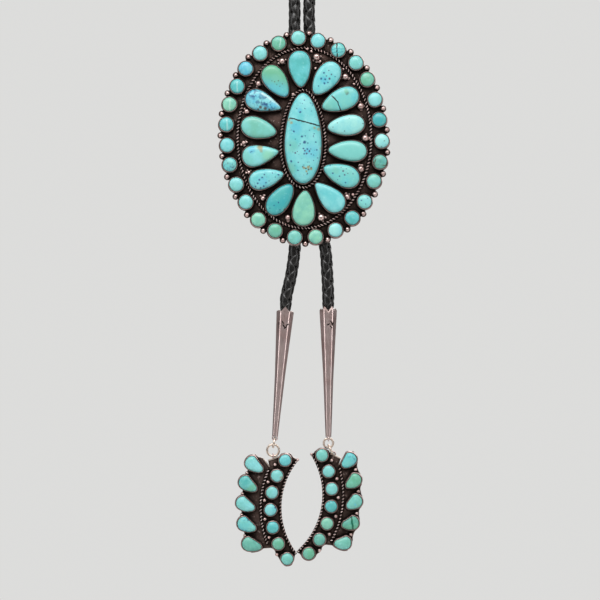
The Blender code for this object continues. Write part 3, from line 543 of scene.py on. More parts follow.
STAINS = {
    # as in STAINS_BELOW
    "center": (
        (BLUE, 0.6, 1.2, ((306.5, 151.0, 1.7),)),
        (INDIGO, 0.85, 0.6, (
            (299.8, 112.0, 0.65), (303.9, 100.2, 0.4), (293.4, 131.2, 0.55), (301.4, 136.4, 0.6),
            (304.2, 141.8, 0.85), (307.2, 142.8, 0.4), (315.4, 142.0, 0.45), (313.5, 133.5, 0.35),
            (290.0, 145.0, 0.5), (316.2, 149.4, 0.45), (297.8, 161.8, 0.4), (302.9, 148.2, 0.45),
            (306.8, 148.8, 0.5), (311.0, 153.6, 0.4), (303.6, 153.6, 0.45), (290.6, 161.0, 0.55),
            (295.0, 139.0, 0.3), (298.5, 145.5, 0.3), (313.0, 160.0, 0.35), (317.0, 157.5, 0.35),
        )),
        (VIOLET, 0.85, 0.6, (
            (304.4, 150.4, 0.55), (308.9, 150.8, 0.55), (306.2, 153.2, 0.55), (310.2, 148.6, 0.35),
            (294.8, 152.6, 0.5), (297.0, 151.4, 0.3),
        )),
        (GOLD, 0.85, 0.6, (
            (303.6, 167.6, 0.8), (307.6, 166.8, 0.9), (310.6, 168.6, 0.8), (306.0, 171.0, 0.6),
        )),
        (BROWN, 0.85, 0.6, (
            (302.2, 166.4, 0.45), (305.4, 168.2, 0.5), (308.0, 169.2, 0.5), (310.6, 167.4, 0.4),
            (309.0, 165.4, 0.3), (306.8, 173.0, 0.35),
        )),
    ),
    "second": (
        (BLUE, 0.6, 1.2, ((324.0, 80.5, 2.2),)),
        (INDIGO, 0.85, 0.6, (
            (323.5, 72.8, 0.55), (320.6, 78.7, 0.6), (324.7, 79.2, 0.6), (323.8, 83.3, 0.5),
            (334.5, 76.5, 0.35), (327.2, 82.6, 0.4), (318.0, 86.0, 0.35),
        )),
        (VIOLET, 0.85, 0.6, (
            (328.2, 70.6, 0.4), (330.8, 74.3, 0.45), (329.1, 78.7, 0.6), (326.0, 76.0, 0.35),
        )),
    ),
    "fourth": (
        (BROWN, 0.85, 0.6, (
            (336.7, 122.6, 0.3), (332.3, 127.0, 0.3), (344.0, 130.7, 0.35), (362.4, 122.8, 0.3),
            (348.5, 118.0, 0.25),
        )),
    ),
    "sixth": (
        (SEA, 0.5, 1.2, ((335.0, 170.0, 2.0),)),
        (INDIGO, 0.85, 0.6, (
            (344.8, 182.0, 0.5), (332.3, 172.5, 0.45), (345.5, 168.0, 0.35), (329.5, 165.2, 0.35),
            (338.9, 175.6, 0.45), (352.1, 173.2, 0.3), (337.0, 179.0, 0.3),
        )),
        (VIOLET, 0.85, 0.6, (
            (342.6, 170.3, 0.5), (344.0, 174.4, 0.5), (347.2, 172.8, 0.35), (340.4, 166.8, 0.3),
        )),
    ),
    "ninth": (
        (INDIGO, 0.85, 0.6, (
            (278.0, 201.8, 0.45), (279.5, 209.1, 0.4), (273.7, 204.7, 0.3), (269.5, 207.5, 0.3),
        )),
        (BROWN, 0.85, 0.6, ((284.0, 208.4, 0.55),)),
    ),
    "tenth": (
        (BLUE, 0.5, 1.2, ((262.0, 181.0, 2.6),)),
        (INDIGO, 0.85, 0.6, (
            (259.0, 179.1, 0.6), (262.0, 176.9, 0.5), (264.1, 174.0, 0.45), (257.5, 182.8, 0.5),
            (255.3, 185.7, 0.5), (263.4, 185.7, 0.6), (265.6, 182.0, 0.45), (260.4, 187.2, 0.45),
            (278.1, 174.0, 0.5), (272.2, 172.5, 0.35), (268.8, 180.5, 0.3), (275.0, 176.5, 0.3),
        )),
    ),
    "two_tone": (
        (GOLD, 0.85, 1.2, ((260.0, 147.0, 1.5),)),
        (GOLD, 0.6, 1.2, ((261.0, 150.5, 1.1),)),
    ),
    "gradient": (
        (SEA, 0.6, 1.2, ((275.5, 78.0, 2.4),)),
        (BROWN, 0.85, 0.6, (
            (274.4, 81.6, 0.3), (278.0, 80.8, 0.35), (271.5, 80.9, 0.25), (279.5, 86.0, 0.3),
            (282.0, 84.0, 0.25), (276.5, 84.5, 0.25),
        )),
    ),
    "blue_pear": (
        (INDIGO, 0.6, 2.4, ((254.6, 91.8, 1.0), (257.5, 102.1, 1.1), (272.2, 108.0, 1.1))),
        (BROWN, 0.85, 0.6, (
            (260.4, 106.8, 0.8), (264.9, 108.2, 0.9), (269.0, 109.5, 0.6), (258.0, 109.0, 0.6),
        )),
    ),
    # single spots, each of which shows only on the stone it lies on
    "small": (
        (INDIGO, 0.85, 0.6, (
            (360.9, 199.6, 0.35), (366.8, 197.7, 0.3), (364.6, 203.3, 0.3), (351.1, 460.6, 0.35),
            (353.3, 462.3, 0.4), (246.8, 525.4, 0.35), (249.0, 527.1, 0.35), (245.1, 524.3, 0.3),
            (251.2, 529.3, 0.3), (274.7, 507.0, 0.5),
        )),
        (BLUE, 0.7, 1.2, ((355.0, 504.2, 0.7),)),
        (GOLD, 0.6, 1.2, ((281.0, 477.0, 1.0),)),
        (BROWN, 0.85, 0.6, (
            (383.6, 140.2, 0.3), (380.7, 146.1, 0.25), (332.1, 500.8, 0.35), (329.0, 502.0, 0.3),
        )),
    ),
}

# Light: how bright the room is below and above, and soft lights set from the tie's middle
ROOM_LOW = 0.115
ROOM_HIGH = 0.48
ROOM_COLOUR = (1.0, 0.96, 0.94, 1.0)
ROOM_FADE_START = -0.1
ROOM_FADE_END = 0.75
SURROUND_COLOUR = (0.72, 0.72, 0.71, 1.0)
FLOOR_COLOURS = ((0.74, 0.74, 0.73), (0.70, 0.70, 0.69))
FLOOR_GRAIN = 6.0
FLOOR_ROUGHNESS = 0.8
FLOOR_RADIUS = 1.6
FLOOR_DROP = 0.35
LIGHTS = (
    # name, place in metres, width and height, watts
    ("back_light", (0.35, 0.85, 0.45), (0.8, 0.8), 5.0),
    ("key_light", (-0.08, -0.62, 0.62), (0.8, 0.45), 7.8),
    ("left_light", (-0.75, -0.42, 0.05), (0.22, 1.1), 1.9),
    ("right_light", (0.75, -0.42, 0.05), (0.22, 1.1), 1.9),
)


def photo_point(x, y):
    """Return the place in the tie's front plane that the photo shows at a pixel."""
    column, row = PHOTO_SLIDE
    return Vector(((x - column) * PIXEL, FRONT_Y, SLIDE_Z - (y - row) * PIXEL))


def light(colour):
    """Return a screen colour as the amounts of light that Blender mixes, without the gloss."""
    amounts = (((value / 255 + 0.055) / 1.055) ** 2.4 for value in colour)
    return tuple(max(0.004, amount - GLOSS) for amount in amounts)


class Nodes:
    """A short way to wire up the nodes of one material."""

    def __init__(self, name):
        self.material = bpy.data.materials.new(name)
        self.material.use_nodes = True
        self.tree = self.material.node_tree
        self.shader = self.tree.nodes["Principled BSDF"]
        self.place = self.add("ShaderNodeTexCoord").outputs["Object"]

    def add(self, kind, **values):
        """Add a node. Values that aren't its properties are sockets, by name."""
        node = self.tree.nodes.new(kind)
        for key, value in values.items():
            if hasattr(node, key):
                setattr(node, key, value)
            else:
                self.set(node.inputs[key], value)
        return node

    def set(self, socket, value):
        """Link a socket to another node's output, or give it a value."""
        if isinstance(value, bpy.types.NodeSocket):
            self.tree.links.new(value, socket)
        elif isinstance(value, tuple) and len(value) == 3 and socket.type == "RGBA":
            socket.default_value = (*value, 1.0)
        else:
            socket.default_value = value

    def math(self, operation, first, second):
        node = self.add("ShaderNodeMath", operation=operation)
        self.set(node.inputs[0], first)
        self.set(node.inputs[1], second)
        return node.outputs[0]

    def vector(self, operation, first, second=(0.0, 0.0, 0.0), scale=None):
        node = self.add("ShaderNodeVectorMath", operation=operation)
        self.set(node.inputs[0], first)
        self.set(node.inputs[1], second)
        if scale is not None:
            self.set(node.inputs["Scale"], scale)
        return node.outputs["Value" if operation in ("DOT_PRODUCT", "DISTANCE") else 0]

    def noise(self, scale, detail=3.0, rough=0.5, place=None, offset=0.0):
        """Return a noise pattern. The offset moves it, so that two patterns don't agree."""
        place = place or self.place
        if offset:
            place = self.vector("ADD", place, (offset, offset, offset))
        node = self.add("ShaderNodeTexNoise", Scale=scale, Detail=detail, Roughness=rough)
        self.set(node.inputs["Vector"], place)
        return node.outputs[0]

    def step(self, value, low, high):
        """Return 0 below low and 1 above high, with a smooth rise between."""
        node = self.add("ShaderNodeMapRange", interpolation_type="SMOOTHSTEP")
        self.set(node.inputs[0], value)
        self.set(node.inputs[1], low)
        self.set(node.inputs[2], high)
        return node.outputs[0]

    def mix(self, share, first, second):
        """Return the first colour where the share is 0 and the second where it is 1."""
        node = self.add("ShaderNodeMix", data_type="RGBA")
        self.set(node.inputs[0], share)
        self.set(node.inputs[6], first)
        self.set(node.inputs[7], second)
        return node.outputs[2]

    def bump(self, height, distance, strength=1.0):
        """Roughen the surface by a height pattern."""
        node = self.add("ShaderNodeBump", Distance=distance, Strength=strength)
        self.set(node.inputs["Height"], height)
        self.set(self.shader.inputs["Normal"], node.outputs[0])

    def near_line(self, first, last, width, wander=0.0):
        """Return 1 close to the line between two places, seen from the front, else 0."""
        place = self.place
        if wander:
            shift = self.add("ShaderNodeTexNoise", Scale=700.0, Detail=2.0)
            self.set(shift.inputs["Vector"], place)
            centred = self.vector("SUBTRACT", shift.outputs["Color"], (0.5, 0.5, 0.5))
            place = self.vector("ADD", place, self.vector("SCALE", centred, scale=wander))
        flat = self.vector("MULTIPLY", place, (1.0, 0.0, 1.0))
        start = Vector((first.x, 0.0, first.z))
        along = Vector((last.x, 0.0, last.z)) - start
        reach = self.vector("SUBTRACT", flat, tuple(start))
        share = self.vector("DOT_PRODUCT", reach, tuple(along / along.length_squared))
        clamped = self.math("MINIMUM", self.math("MAXIMUM", share, 0.0), 1.0)
        foot = self.vector("ADD", self.vector("SCALE", tuple(along), scale=clamped), tuple(start))
        distance = self.vector("DISTANCE", flat, foot)
        return self.math("SUBTRACT", 1.0, self.step(distance, 0.35 * width, width))

    def near_spot(self, centre, width, wander=0.0):
        """Return 1 close to a place, seen from the front, else 0."""
        return self.near_line(centre, centre + Vector((0.02 * MM, 0.0, 0.0)), width, wander)


def specked(n, colour, tint, scale, share, amount, offset, where=None):
    """Scatter specks of a tint. The share is how much of the stone they cover."""
    dots = n.step(n.noise(scale, 2.0, 0.55, offset=offset), 0.70 - share, 0.76 - share)
    mask = n.math("MULTIPLY", dots, amount)
    if where is not None:
        mask = n.math("MULTIPLY", mask, where)
    return n.mix(mask, colour, light(tint))


def stained(n, colour, runs):
    """Stain soft patches and spots, as the rows of STAINS say."""
    for tint, strength, wander, stains in runs:
        for x, y, reach in stains:
            area = n.near_spot(photo_point(x, y), reach * MM, wander * MM)
            colour = n.mix(n.math("MULTIPLY", area, strength), colour, light(tint))
    return colour


def faded(n, colour, tint, top, bottom):
    """Fade to a tint from a lower to an upper pixel, with the edge of the fade aslant."""
    split = n.add("ShaderNodeSeparateXYZ")
    n.set(split.inputs[0], n.place)
    aslant = n.math("MULTIPLY", split.outputs["X"], FADE_LEAN)
    low = photo_point(*bottom).z + FADE_SHIFT
    high = photo_point(*top).z + FADE_SHIFT
    share = n.step(n.math("ADD", split.outputs["Z"], aslant), low, high)
    return n.mix(share, colour, light(tint))


def marked(n, colour, height, marks):
    """Draw a stone's marks from the tables over its colour, and sink its cracks."""
    for fade in FADES.get(marks, ()):
        colour = faded(n, colour, *fade)
    colour = stained(n, colour, STAINS_BELOW.get(marks, ()))
    for tint, strength, wander, depth, first, last, width in LINES.get(marks, ()):
        line = n.near_line(photo_point(*first), photo_point(*last), width * MM, wander * MM)
        colour = n.mix(n.math("MULTIPLY", line, strength), colour, light(tint))
        if depth:
            height = n.math("SUBTRACT", height, n.math("MULTIPLY", line, depth))
    for row in SPECK_FIELDS.get(marks, ()):
        tint, grain, share, strength, shift, first, last, width, wander = row
        field = n.near_line(photo_point(*first), photo_point(*last), width * MM, wander * MM)
        colour = specked(n, colour, tint, grain, share, strength, shift, field)
    return stained(n, colour, STAINS.get(marks, ())), height


def turquoise(name, main, second, marks="none", mottle=0.8, specks=0.0, veins=0.0):
    """Return a polished turquoise: cloudy colour with specks, veins and marks where it has them."""
    n = Nodes("turquoise_" + name)
    cloud = n.noise(230.0, 4.0, 0.6)
    spread = n.step(cloud, 0.5 - 0.22 * mottle, 0.5 + 0.22 * mottle)
    colour = n.mix(spread, light(main), light(second))
    pale = n.step(n.noise(700.0, 3.0, 0.6, offset=3.1), 0.54, 0.76)
    colour = n.mix(n.math("MULTIPLY", pale, 0.4), colour, light(PALE))
    fine = n.step(n.noise(2400.0, 2.0, 0.6, offset=6.4), 0.35, 0.75)
    colour = n.mix(n.math("MULTIPLY", fine, 0.12), colour, light(TEAL))
    if specks:
        patches = n.step(n.noise(210.0, 2.0, 0.5, offset=7.7), 0.44, 0.58)
        colour = specked(n, colour, BLUE, 420.0, 0.17, 0.6 * specks, 2.6, patches)
        colour = specked(n, colour, INDIGO, 820.0, 0.13, specks, 1.3, patches)
        colour = specked(n, colour, VIOLET, 760.0, 0.09, 0.9 * specks, 5.9, patches)
        colour = specked(n, colour, INDIGO, 1100.0, 0.03, 0.9 * specks, 8.4)
    if veins:
        warp = n.add("ShaderNodeTexNoise", Scale=420.0, Detail=3.0)
        n.set(warp.inputs["Vector"], n.place)
        bent = n.vector("ADD", n.place, n.vector("SCALE", warp.outputs["Color"], scale=2.2 * MM))
        cells = n.add("ShaderNodeTexVoronoi", feature="DISTANCE_TO_EDGE", Scale=230.0)
        n.set(cells.inputs["Vector"], bent)
        thin = n.math("SUBTRACT", 1.0, n.step(cells.outputs["Distance"], 0.01, 0.06))
        where = n.step(n.noise(150.0, 2.0, 0.5, offset=9.2), 0.4, 0.55)
        mask = n.math("MULTIPLY", n.math("MULTIPLY", thin, where), veins)
        colour = n.mix(mask, colour, light(BROWN))
    colour, height = marked(n, colour, n.noise(900.0, 2.0, 0.5), marks)
    n.set(n.shader.inputs["Base Color"], colour)
    n.set(n.shader.inputs["Roughness"], n.math("ADD", 0.24, n.math("MULTIPLY", cloud, 0.2)))
    n.shader.inputs["Specular IOR Level"].default_value = 0.45
    n.bump(height, 0.03 * MM, 0.5)
    return n.material


def silver(name, bright, dark, reach, rough, low, high, flecks=0.0, bumps=0.5):
    """Return worn silver: dark oxide in the hollows, bright and warm where it is rubbed."""
    n = Nodes(name)
    hollow = n.add("ShaderNodeAmbientOcclusion", samples=8)
    n.set(hollow.inputs["Distance"], reach)
    worn = n.noise(900.0, 4.0, 0.6)
    open_share = n.math("ADD", hollow.outputs["AO"], n.math("MULTIPLY", worn, 0.3))
    rubbed = n.step(open_share, low, high)
    tarnish = n.step(n.noise(160.0, 3.0, 0.6, offset=4.0), 0.42, 0.68)
    warm = tuple(c * f for c, f in zip(bright, (0.74, 0.62, 0.60)))
    metal = n.mix(n.math("MULTIPLY", tarnish, 0.6), bright, warm)
    if flecks:
        bits = n.step(n.noise(1100.0, 3.0, 0.6, offset=1.7), 0.6, 0.68)
        metal = n.mix(n.math("MULTIPLY", bits, flecks), metal, (0.55, 0.42, 0.38))
    n.set(n.shader.inputs["Base Color"], n.mix(rubbed, dark, metal))
    n.shader.inputs["Metallic"].default_value = 1.0
    scratches = n.noise(2600.0, 2.0, 0.6, place=n.vector("MULTIPLY", n.place, (1.0, 1.0, 0.12)))
    spread = n.math("MULTIPLY", n.math("ADD", worn, scratches), 0.14)
    dull = n.math("MULTIPLY", n.math("SUBTRACT", 1.0, rubbed), 0.3)
    n.set(n.shader.inputs["Roughness"], n.math("ADD", n.math("ADD", rough, spread), dull))
    height = n.math("ADD", n.noise(420.0, 3.0, 0.5), n.math("MULTIPLY", scratches, 0.25))
    n.bump(height, 0.06 * MM, bumps)
    return n.material


def leather_look():
    """Return black glossy braiding leather with fine grain."""
    n = Nodes("black_leather")
    grain = n.noise(2400.0, 4.0, 0.6)
    broad = n.noise(300.0, 2.0, 0.5)
    shade = n.step(n.math("ADD", grain, n.math("MULTIPLY", broad, 0.5)), 0.55, 1.1)
    n.set(n.shader.inputs["Base Color"], n.mix(shade, (0.005, 0.005, 0.005), (0.018, 0.017, 0.016)))
    n.set(n.shader.inputs["Roughness"], n.math("ADD", 0.18, n.math("MULTIPLY", grain, 0.16)))
    n.shader.inputs["Specular IOR Level"].default_value = 0.5
    n.bump(n.math("ADD", grain, n.math("MULTIPLY", broad, 2.0)), 0.05 * MM, 0.6)
    return n.material


LOOKS = {row[0]: turquoise(*row) for row in TURQUOISES}
OXIDE = (0.014, 0.010, 0.008)
SILVER_PLATE = silver(
    "silver_plate", (0.125, 0.085, 0.074), OXIDE, 3.0 * MM, 0.3, 0.7, 1.25, 0.9, 1.0
)
SILVER = silver("silver", (0.58, 0.49, 0.46), OXIDE, 1.8 * MM, 0.22, 0.66, 1.12)
SILVER_BEZELS = silver("silver_bezels", (0.46, 0.34, 0.32), OXIDE, 1.8 * MM, 0.16, 0.72, 1.25)
SILVER_WIRES = silver("silver_wires", (0.95, 0.78, 0.74), OXIDE, 0.5 * MM, 0.22, 0.1, 0.6)
SILVER_BALLS = silver("silver_balls", (0.66, 0.50, 0.47), OXIDE, 1.6 * MM, 0.22, 0.55, 1.1)
SILVER_RINGS = silver("silver_rings", (0.74, 0.63, 0.54), OXIDE, 1.0 * MM, 0.2, 0.4, 0.9)
SILVER_TIPS = silver(
    "silver_tips", (0.86, 0.69, 0.67), (0.24, 0.16, 0.15), 1.2 * MM, 0.2, 0.5, 1.0, 0.0, 0.2
)
BLACKENED = silver("blackened_silver", (0.02, 0.015, 0.014), OXIDE, 1.0 * MM, 0.5, 0.4, 0.9)
# Darker, rougher silver for painted shade on the tips' upward-facing rim faces, so that they don't
# catch the light from above
SHADED_RIM_SILVER = silver("rim_silver_painted_shade", (0.44, 0.35, 0.33), OXIDE, 1.0 * MM, 0.35, 0.4, 0.9)
LEATHER = leather_look()


class Skin:
    """Gathers the points and faces of one piece and turns them into an object."""

    def __init__(self):
        self.points = []
        self.faces = []

    def rings(self, rings, closed=False):
        """Skin rings of equal size. Open runs are capped at both ends."""
        first = len(self.points)
        size = len(rings[0])
        for ring in rings:
            self.points.extend(tuple(p) for p in ring)
        for k in range(len(rings) if closed else len(rings) - 1):
            here = first + k * size
            there = first + (k + 1) % len(rings) * size
            for i in range(size):
                j = (i + 1) % size
                self.faces.append((here + i, here + j, there + j, there + i))
        if not closed:
            last = first + (len(rings) - 1) * size
            self.faces.append(tuple(first + i for i in reversed(range(size))))
            self.faces.append(tuple(last + i for i in range(size)))

    def ball(self, centre, radius, squash=1.0):
        """Add a ball. Squash flattens it from front to back."""
        ahead, aside, up = (Vector(way) * radius for way in ((0, -squash, 0), (1, 0, 0), (0, 0, 1)))
        self.bead(centre, ahead, aside, up, BALL_ROWS, BALL_SIDES)

    def bead(self, centre, along, aside, up, rows=8, sides=8):
        """Add an ellipsoid by its three half-axes."""
        rings = []
        for row in range(1, rows):
            tilt = math.pi * row / rows
            ring = []
            for i in range(sides):
                turn = 2 * math.pi * i / sides
                swell = aside * math.cos(turn) + up * math.sin(turn)
                ring.append(centre + along * math.cos(tilt) + swell * math.sin(tilt))
            rings.append(ring)
        self.rings(rings)

    def piece(self, name, material, body, slot, sharp=50.0):
        """Make the object and let it ride on its body. The slot is not used."""
        mesh = bpy.data.meshes.new(name)
        mesh.from_pydata(self.points, [], self.faces)
        bm = bmesh.new()
        bm.from_mesh(mesh)
        bmesh.ops.recalc_face_normals(bm, faces=bm.faces)
        bm.to_mesh(mesh)
        bm.free()
        mesh.materials.append(material)
        mesh.shade_smooth()
        mesh.set_sharp_from_angle(angle=math.radians(sharp))
        made = bpy.data.objects.new(name, mesh)
        bpy.context.scene.collection.objects.link(made)
        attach(made, body)
        return made


class Face:
    """A flat front: a place on it is a point in u and v and a height towards the viewer."""

    def __init__(self, x, back_y, z):
        self.origin = Vector((x, back_y, z))

    def at(self, point, height):
        """Return the place in space of a point of the face, at a height over it."""
        return self.origin + Vector((point.x, -height, point.y))


def circle(radius, sides=40):
    """Return a circle's outline about the origin."""
    turns = (2 * math.pi * i / sides for i in range(sides))
    return [Vector((radius * math.cos(a), radius * math.sin(a))) for a in turns]


def pear(length, width, taper, offset=0.0):
    """Return a teardrop along u with its wide end out. The taper thins its other end."""
    turns = [2 * math.pi * i / PEAR_POINTS for i in range(PEAR_POINTS)]
    bulges = [math.sin(a) * (1 + taper * math.cos(a)) for a in turns]
    widest = max(bulges)
    points = []
    for angle, bulge in zip(turns, bulges):
        u = (length / 2 + offset) * math.cos(angle)
        points.append(Vector((u, (width / 2 + offset) * bulge / widest)))
    return points


def cut_side(outline, side, offset):
    """Straighten one flank of a pear towards its narrow end, so that it is shaped like a D."""
    cut = []
    for p in outline:
        limit = max(0.0, PEAR_CUT_REACH + offset + PEAR_CUT_SLOPE * p.x)
        cut.append(Vector((p.x, side * min(side * p.y, limit))))
    return cut


def egg(offset=0.0, sides=80):
    """Return the centre stone's outline, grown by the offset."""
    points = []
    for i in range(sides):
        angle = 2 * math.pi * i / sides
        above = max(0.0, math.sin(angle))
        tall = CENTER_ABOVE if above else CENTER_BELOW
        wide = CENTER_WIDTH / 2 * (1 - CENTER_NARROWING * above * above)
        u = CENTER_X + (wide + offset) * math.cos(angle)
        points.append(Vector((u, CENTER_WIDEST_Z + (tall + offset) * math.sin(angle))))
    return points


def moved(outline, place, angle=0.0):
    """Turn an outline about its own origin and move it to a place."""
    turn = Matrix.Rotation(angle, 2)
    return [turn @ p + place for p in outline]


def middle_of(outline):
    """Return the mean of an outline's points."""
    return sum(outline, Vector((0.0, 0.0))) / len(outline)


def shrunk(outline, share):
    """Return an outline at a share of its size, about its middle."""
    middle = middle_of(outline)
    return [middle + (p - middle) * share for p in outline]


def uneven(outline, amount, seed):
    """Push an outline in and out a little, as a hand-cut stone's edge."""
    middle = middle_of(outline)
    pushed = []
    for p in outline:
        arm = p - middle
        way = arm.normalized()
        wave = noise.noise(Vector((1.3 * way.x, 1.3 * way.y, seed)))
        pushed.append(p + way * (amount * wave))
    return pushed


def set_stone(name, node, face, grown, base, wall, dome, look, body, seed, bezels):
    """Make one domed stone and add the bezel that grips it to the bezels' skin."""
    skin = Skin()
    sections = [(uneven(grown(STONE_SECTIONS[0][0] * MM), ROUGH_EDGE, seed), base)]
    for offset, share in STONE_SECTIONS:
        sections.append((uneven(grown(offset * MM), ROUGH_EDGE, seed), wall + share * dome))
    last = sections[-1][0]
    for width, share in STONE_TOP:
        sections.append((shrunk(last, width), wall + share * dome))
    slant = noise.noise(Vector((seed, 0.7, 0.1))) * STONE_SLANT
    rings = []
    for outline, height in sections:
        middle = middle_of(outline)
        ring = []
        for p in outline:
            lift = slant * (p.x - middle.x) - slant * (p.y - middle.y) if height > wall else 0.0
            ring.append(face.at(p, height + lift))
        rings.append(ring)
    skin.rings(rings)
    stone = skin.piece(name, LOOKS[look], body, "turquoise")
    if node:
        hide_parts(node)
    walls = []
    for offset, share in BEZEL_SECTIONS:
        height = PLATE_TOP[body] + share * (wall - PLATE_TOP[body])
        ring = []
        for p in uneven(grown(offset * MM), ROUGH_EDGE, seed):
            spot = Vector((p.x, p.y, 0.0)) * DENT_GRAIN + Vector((0, 0, seed))
            ring.append(face.at(p, height + BEZEL_DENT * noise.noise(spot)))
        walls.append(ring)
    bezels.rings(walls, closed=True)
    return stone


def on_ellipse(half_u, half_v, angle):
    """Return the point of an ellipse at an angle."""
    return Vector((half_u * math.cos(angle), half_v * math.sin(angle)))


def smooth(points, step):
    """Return even points along a smooth curve through the route's own points."""
    ends = [points[0] * 2 - points[1]] + points + [points[-1] * 2 - points[-2]]
    fine = 24
    dense = []
    for before, first, last, after in zip(ends, ends[1:], ends[2:], ends[3:]):
        for i in range(fine):
            t = i / fine
            dense.append(0.5 * (
                2 * first
                + (last - before) * t
                + (2 * before - 5 * first + 4 * last - after) * t ** 2
                + (3 * first - before - 3 * last + after) * t ** 3
            ))
    dense.append(points[-1])
    return resample(dense, step)


def resample(dense, step):
    """Return points at even distances along a line of close points."""
    line = np.array([tuple(p) for p in dense])
    walked = np.concatenate(([0.0], np.cumsum(np.linalg.norm(np.diff(line, axis=0), axis=1))))
    count = max(2, round(walked[-1] / step))
    goals = np.linspace(0.0, walked[-1], count + 1)
    even = np.stack([np.interp(goals, walked, line[:, k]) for k in range(3)], axis=1)
    return [Vector(p) for p in even]


def travel(line, closed):
    """Return the direction of travel at each point of a line."""
    ahead = np.roll(line, -1, axis=0)
    behind = np.roll(line, 1, axis=0)
    if not closed:
        ahead[-1] = line[-1]
        behind[0] = line[0]
    tangents = ahead - behind
    return tangents / np.linalg.norm(tangents, axis=1)[:, None]


def travel_frames(points, closed=False):
    """Return the line, each point's walked length, its tangent and two steady side directions."""
    line = np.array([tuple(p) for p in points])
    tangents = travel(line, closed)
    steps = np.linalg.norm(np.diff(line, axis=0), axis=1)
    walked = np.concatenate(([0.0], np.cumsum(steps)))
    side = np.cross(tangents[0], (0.0, 1.0, 0.0))
    sides = []
    for tangent in tangents:
        side = side - tangent * np.dot(side, tangent)
        side = side / np.linalg.norm(side)
        sides.append(side)
    sides = np.array(sides)
    return line, walked, tangents, sides, np.cross(tangents, sides)


def strap_section(sides, power):
    """Return across and up a section that is rounder than a square. A power of 1 is a circle."""
    turns = np.linspace(0.0, 2 * np.pi, sides, endpoint=False)
    cosines, sines = np.cos(turns), np.sin(turns)
    return np.sign(cosines) * np.abs(cosines) ** power, np.sign(sines) * np.abs(sines) ** power


def ribbon(skin, centres, out, thickness, width, sides, closed=False):
    """Skin a strap of rounded section along its centres. Out is where its flat side faces."""
    tangents = travel(centres, closed)
    across = np.cross(tangents, out)
    across /= np.linalg.norm(across, axis=1)[:, None]
    up = np.cross(across, tangents)
    wide, tall = strap_section(sides, RIBBON_POWER)
    rings = (
        centres[:, None, :]
        + across[:, None, :] * (wide[None, :, None] * np.asarray(width)[..., None, None])
        + up[:, None, :] * (tall[None, :, None] * np.asarray(thickness)[..., None, None])
    )
    skin.rings([list(ring) for ring in rings], closed=closed)


def braid(name, points, shares, body):
    """Braid four straps over and under each other round a line, tight over a dark core."""
    line, walked, _, sides, other = travel_frames(points)
    lean = math.atan(2 * np.pi * BRAID_RADIUS / BRAID_PITCH)
    wide, tall = strap_section(STRAND_SECTION, STRAND_POWER)
    across = STRAND_HALF_WIDTH * wide
    lift = STRAND_HALF_THICKNESS * tall
    skin = Skin()

    def surface(at, angle, radius):
        """Return the points at the walked lengths, angles and distances from the line."""
        place, out_a, out_b = (
            np.stack([np.interp(at, walked, table[:, k]) for k in range(3)], axis=-1)
            for table in (line, sides, other)
        )
        thin = np.interp(at, walked, shares)
        arm = (radius * thin)[..., None]
        return place + (np.cos(angle)[..., None] * out_a + np.sin(angle)[..., None] * out_b) * arm

    for way in (1, -1):
        for half in (0, 1):
            centre = walked[:, None] + np.zeros(STRAND_SECTION)
            turn = 2 * np.pi * centre / BRAID_PITCH
            at = np.clip(centre - across * math.sin(lean), 0.0, walked[-1])
            angle = way * (turn + across * math.cos(lean) / BRAID_RADIUS) + (half + 0.25) * np.pi
            radius = BRAID_RADIUS + way * BRAID_WAVE * np.cos(2 * turn) + lift
            skin.rings([list(ring) for ring in surface(at, angle, radius)])
    around = np.linspace(0.0, 2 * np.pi, CORE_SECTION, endpoint=False)
    at = walked[::CORE_STRIDE, None] + np.zeros(CORE_SECTION)
    core = surface(at, around + np.zeros(at.shape), np.full(at.shape, BRAID_CORE_RADIUS))
    skin.rings([list(ring) for ring in core])
    return skin.piece(name, LEATHER, body, "leather", sharp=60.0)


def rope(beads, cores, points, radius, closed):
    """Lay bright slanted beads over a dark core, as the turns of two twisted wires."""
    line, walked, tangents, _, _ = travel_frames(points, closed)
    length = walked[-1] + (np.linalg.norm(line[0] - line[-1]) if closed else 0.0)
    count = round(length / ROPE_STEP)
    out = Vector((0.0, -1.0, 0.0))
    for i in range(count):
        spot = int(np.searchsorted(walked, (i + 0.5) * length / count))
        spot = min(spot, len(line) - 1)
        ahead = Vector(tangents[spot])
        along = ahead * math.cos(ROPE_SLANT) + ahead.cross(out) * math.sin(ROPE_SLANT)
        beads.bead(
            Vector(line[spot]) + out * (BEAD_LIFT * radius), along * (BEAD_HALF_LENGTH * radius),
            along.cross(out) * (BEAD_HALF_WIDTH * radius), out * (BEAD_HALF_HEIGHT * radius),
        )
    size = np.full(len(line), radius)
    flat = np.tile(tuple(out), (len(line), 1))
    high, wide = GROOVE_HALF_HEIGHT * size, GROOVE_HALF_WIDTH * size
    ribbon(cores, line, flat, high, wide, GROOVE_SIDES, closed)


def neck_points():
    """Return the loop's route, from the clip up round the neck and back."""
    lift = Vector((0.0, 0.0, CORD_DIAMETER / 2))
    sides = []
    for side in (-1, 1):
        cord_x = CORD_MIDDLE_X + side * CORD_SPACING / 2
        half = [Vector((side * x, y, z)) * MM + lift for x, y, z in NECK_ROUTE]
        half += [Vector((cord_x, FRONT_Y, z * MM)) for z in PARALLEL_HEIGHTS]
        half.append(Vector((cord_x, FRONT_Y, SLIDE_Z + GAP / 2)))
        sides.append(half)
    return list(reversed(sides[0])) + sides[1][1:]


def make_neck_cord():
    """Braid the loop round the neck."""
    points = smooth(neck_points(), BRAID_STEP)
    loop = braid("neck_braid", points, np.ones(len(points)), "cord")
    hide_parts("neck_cord")


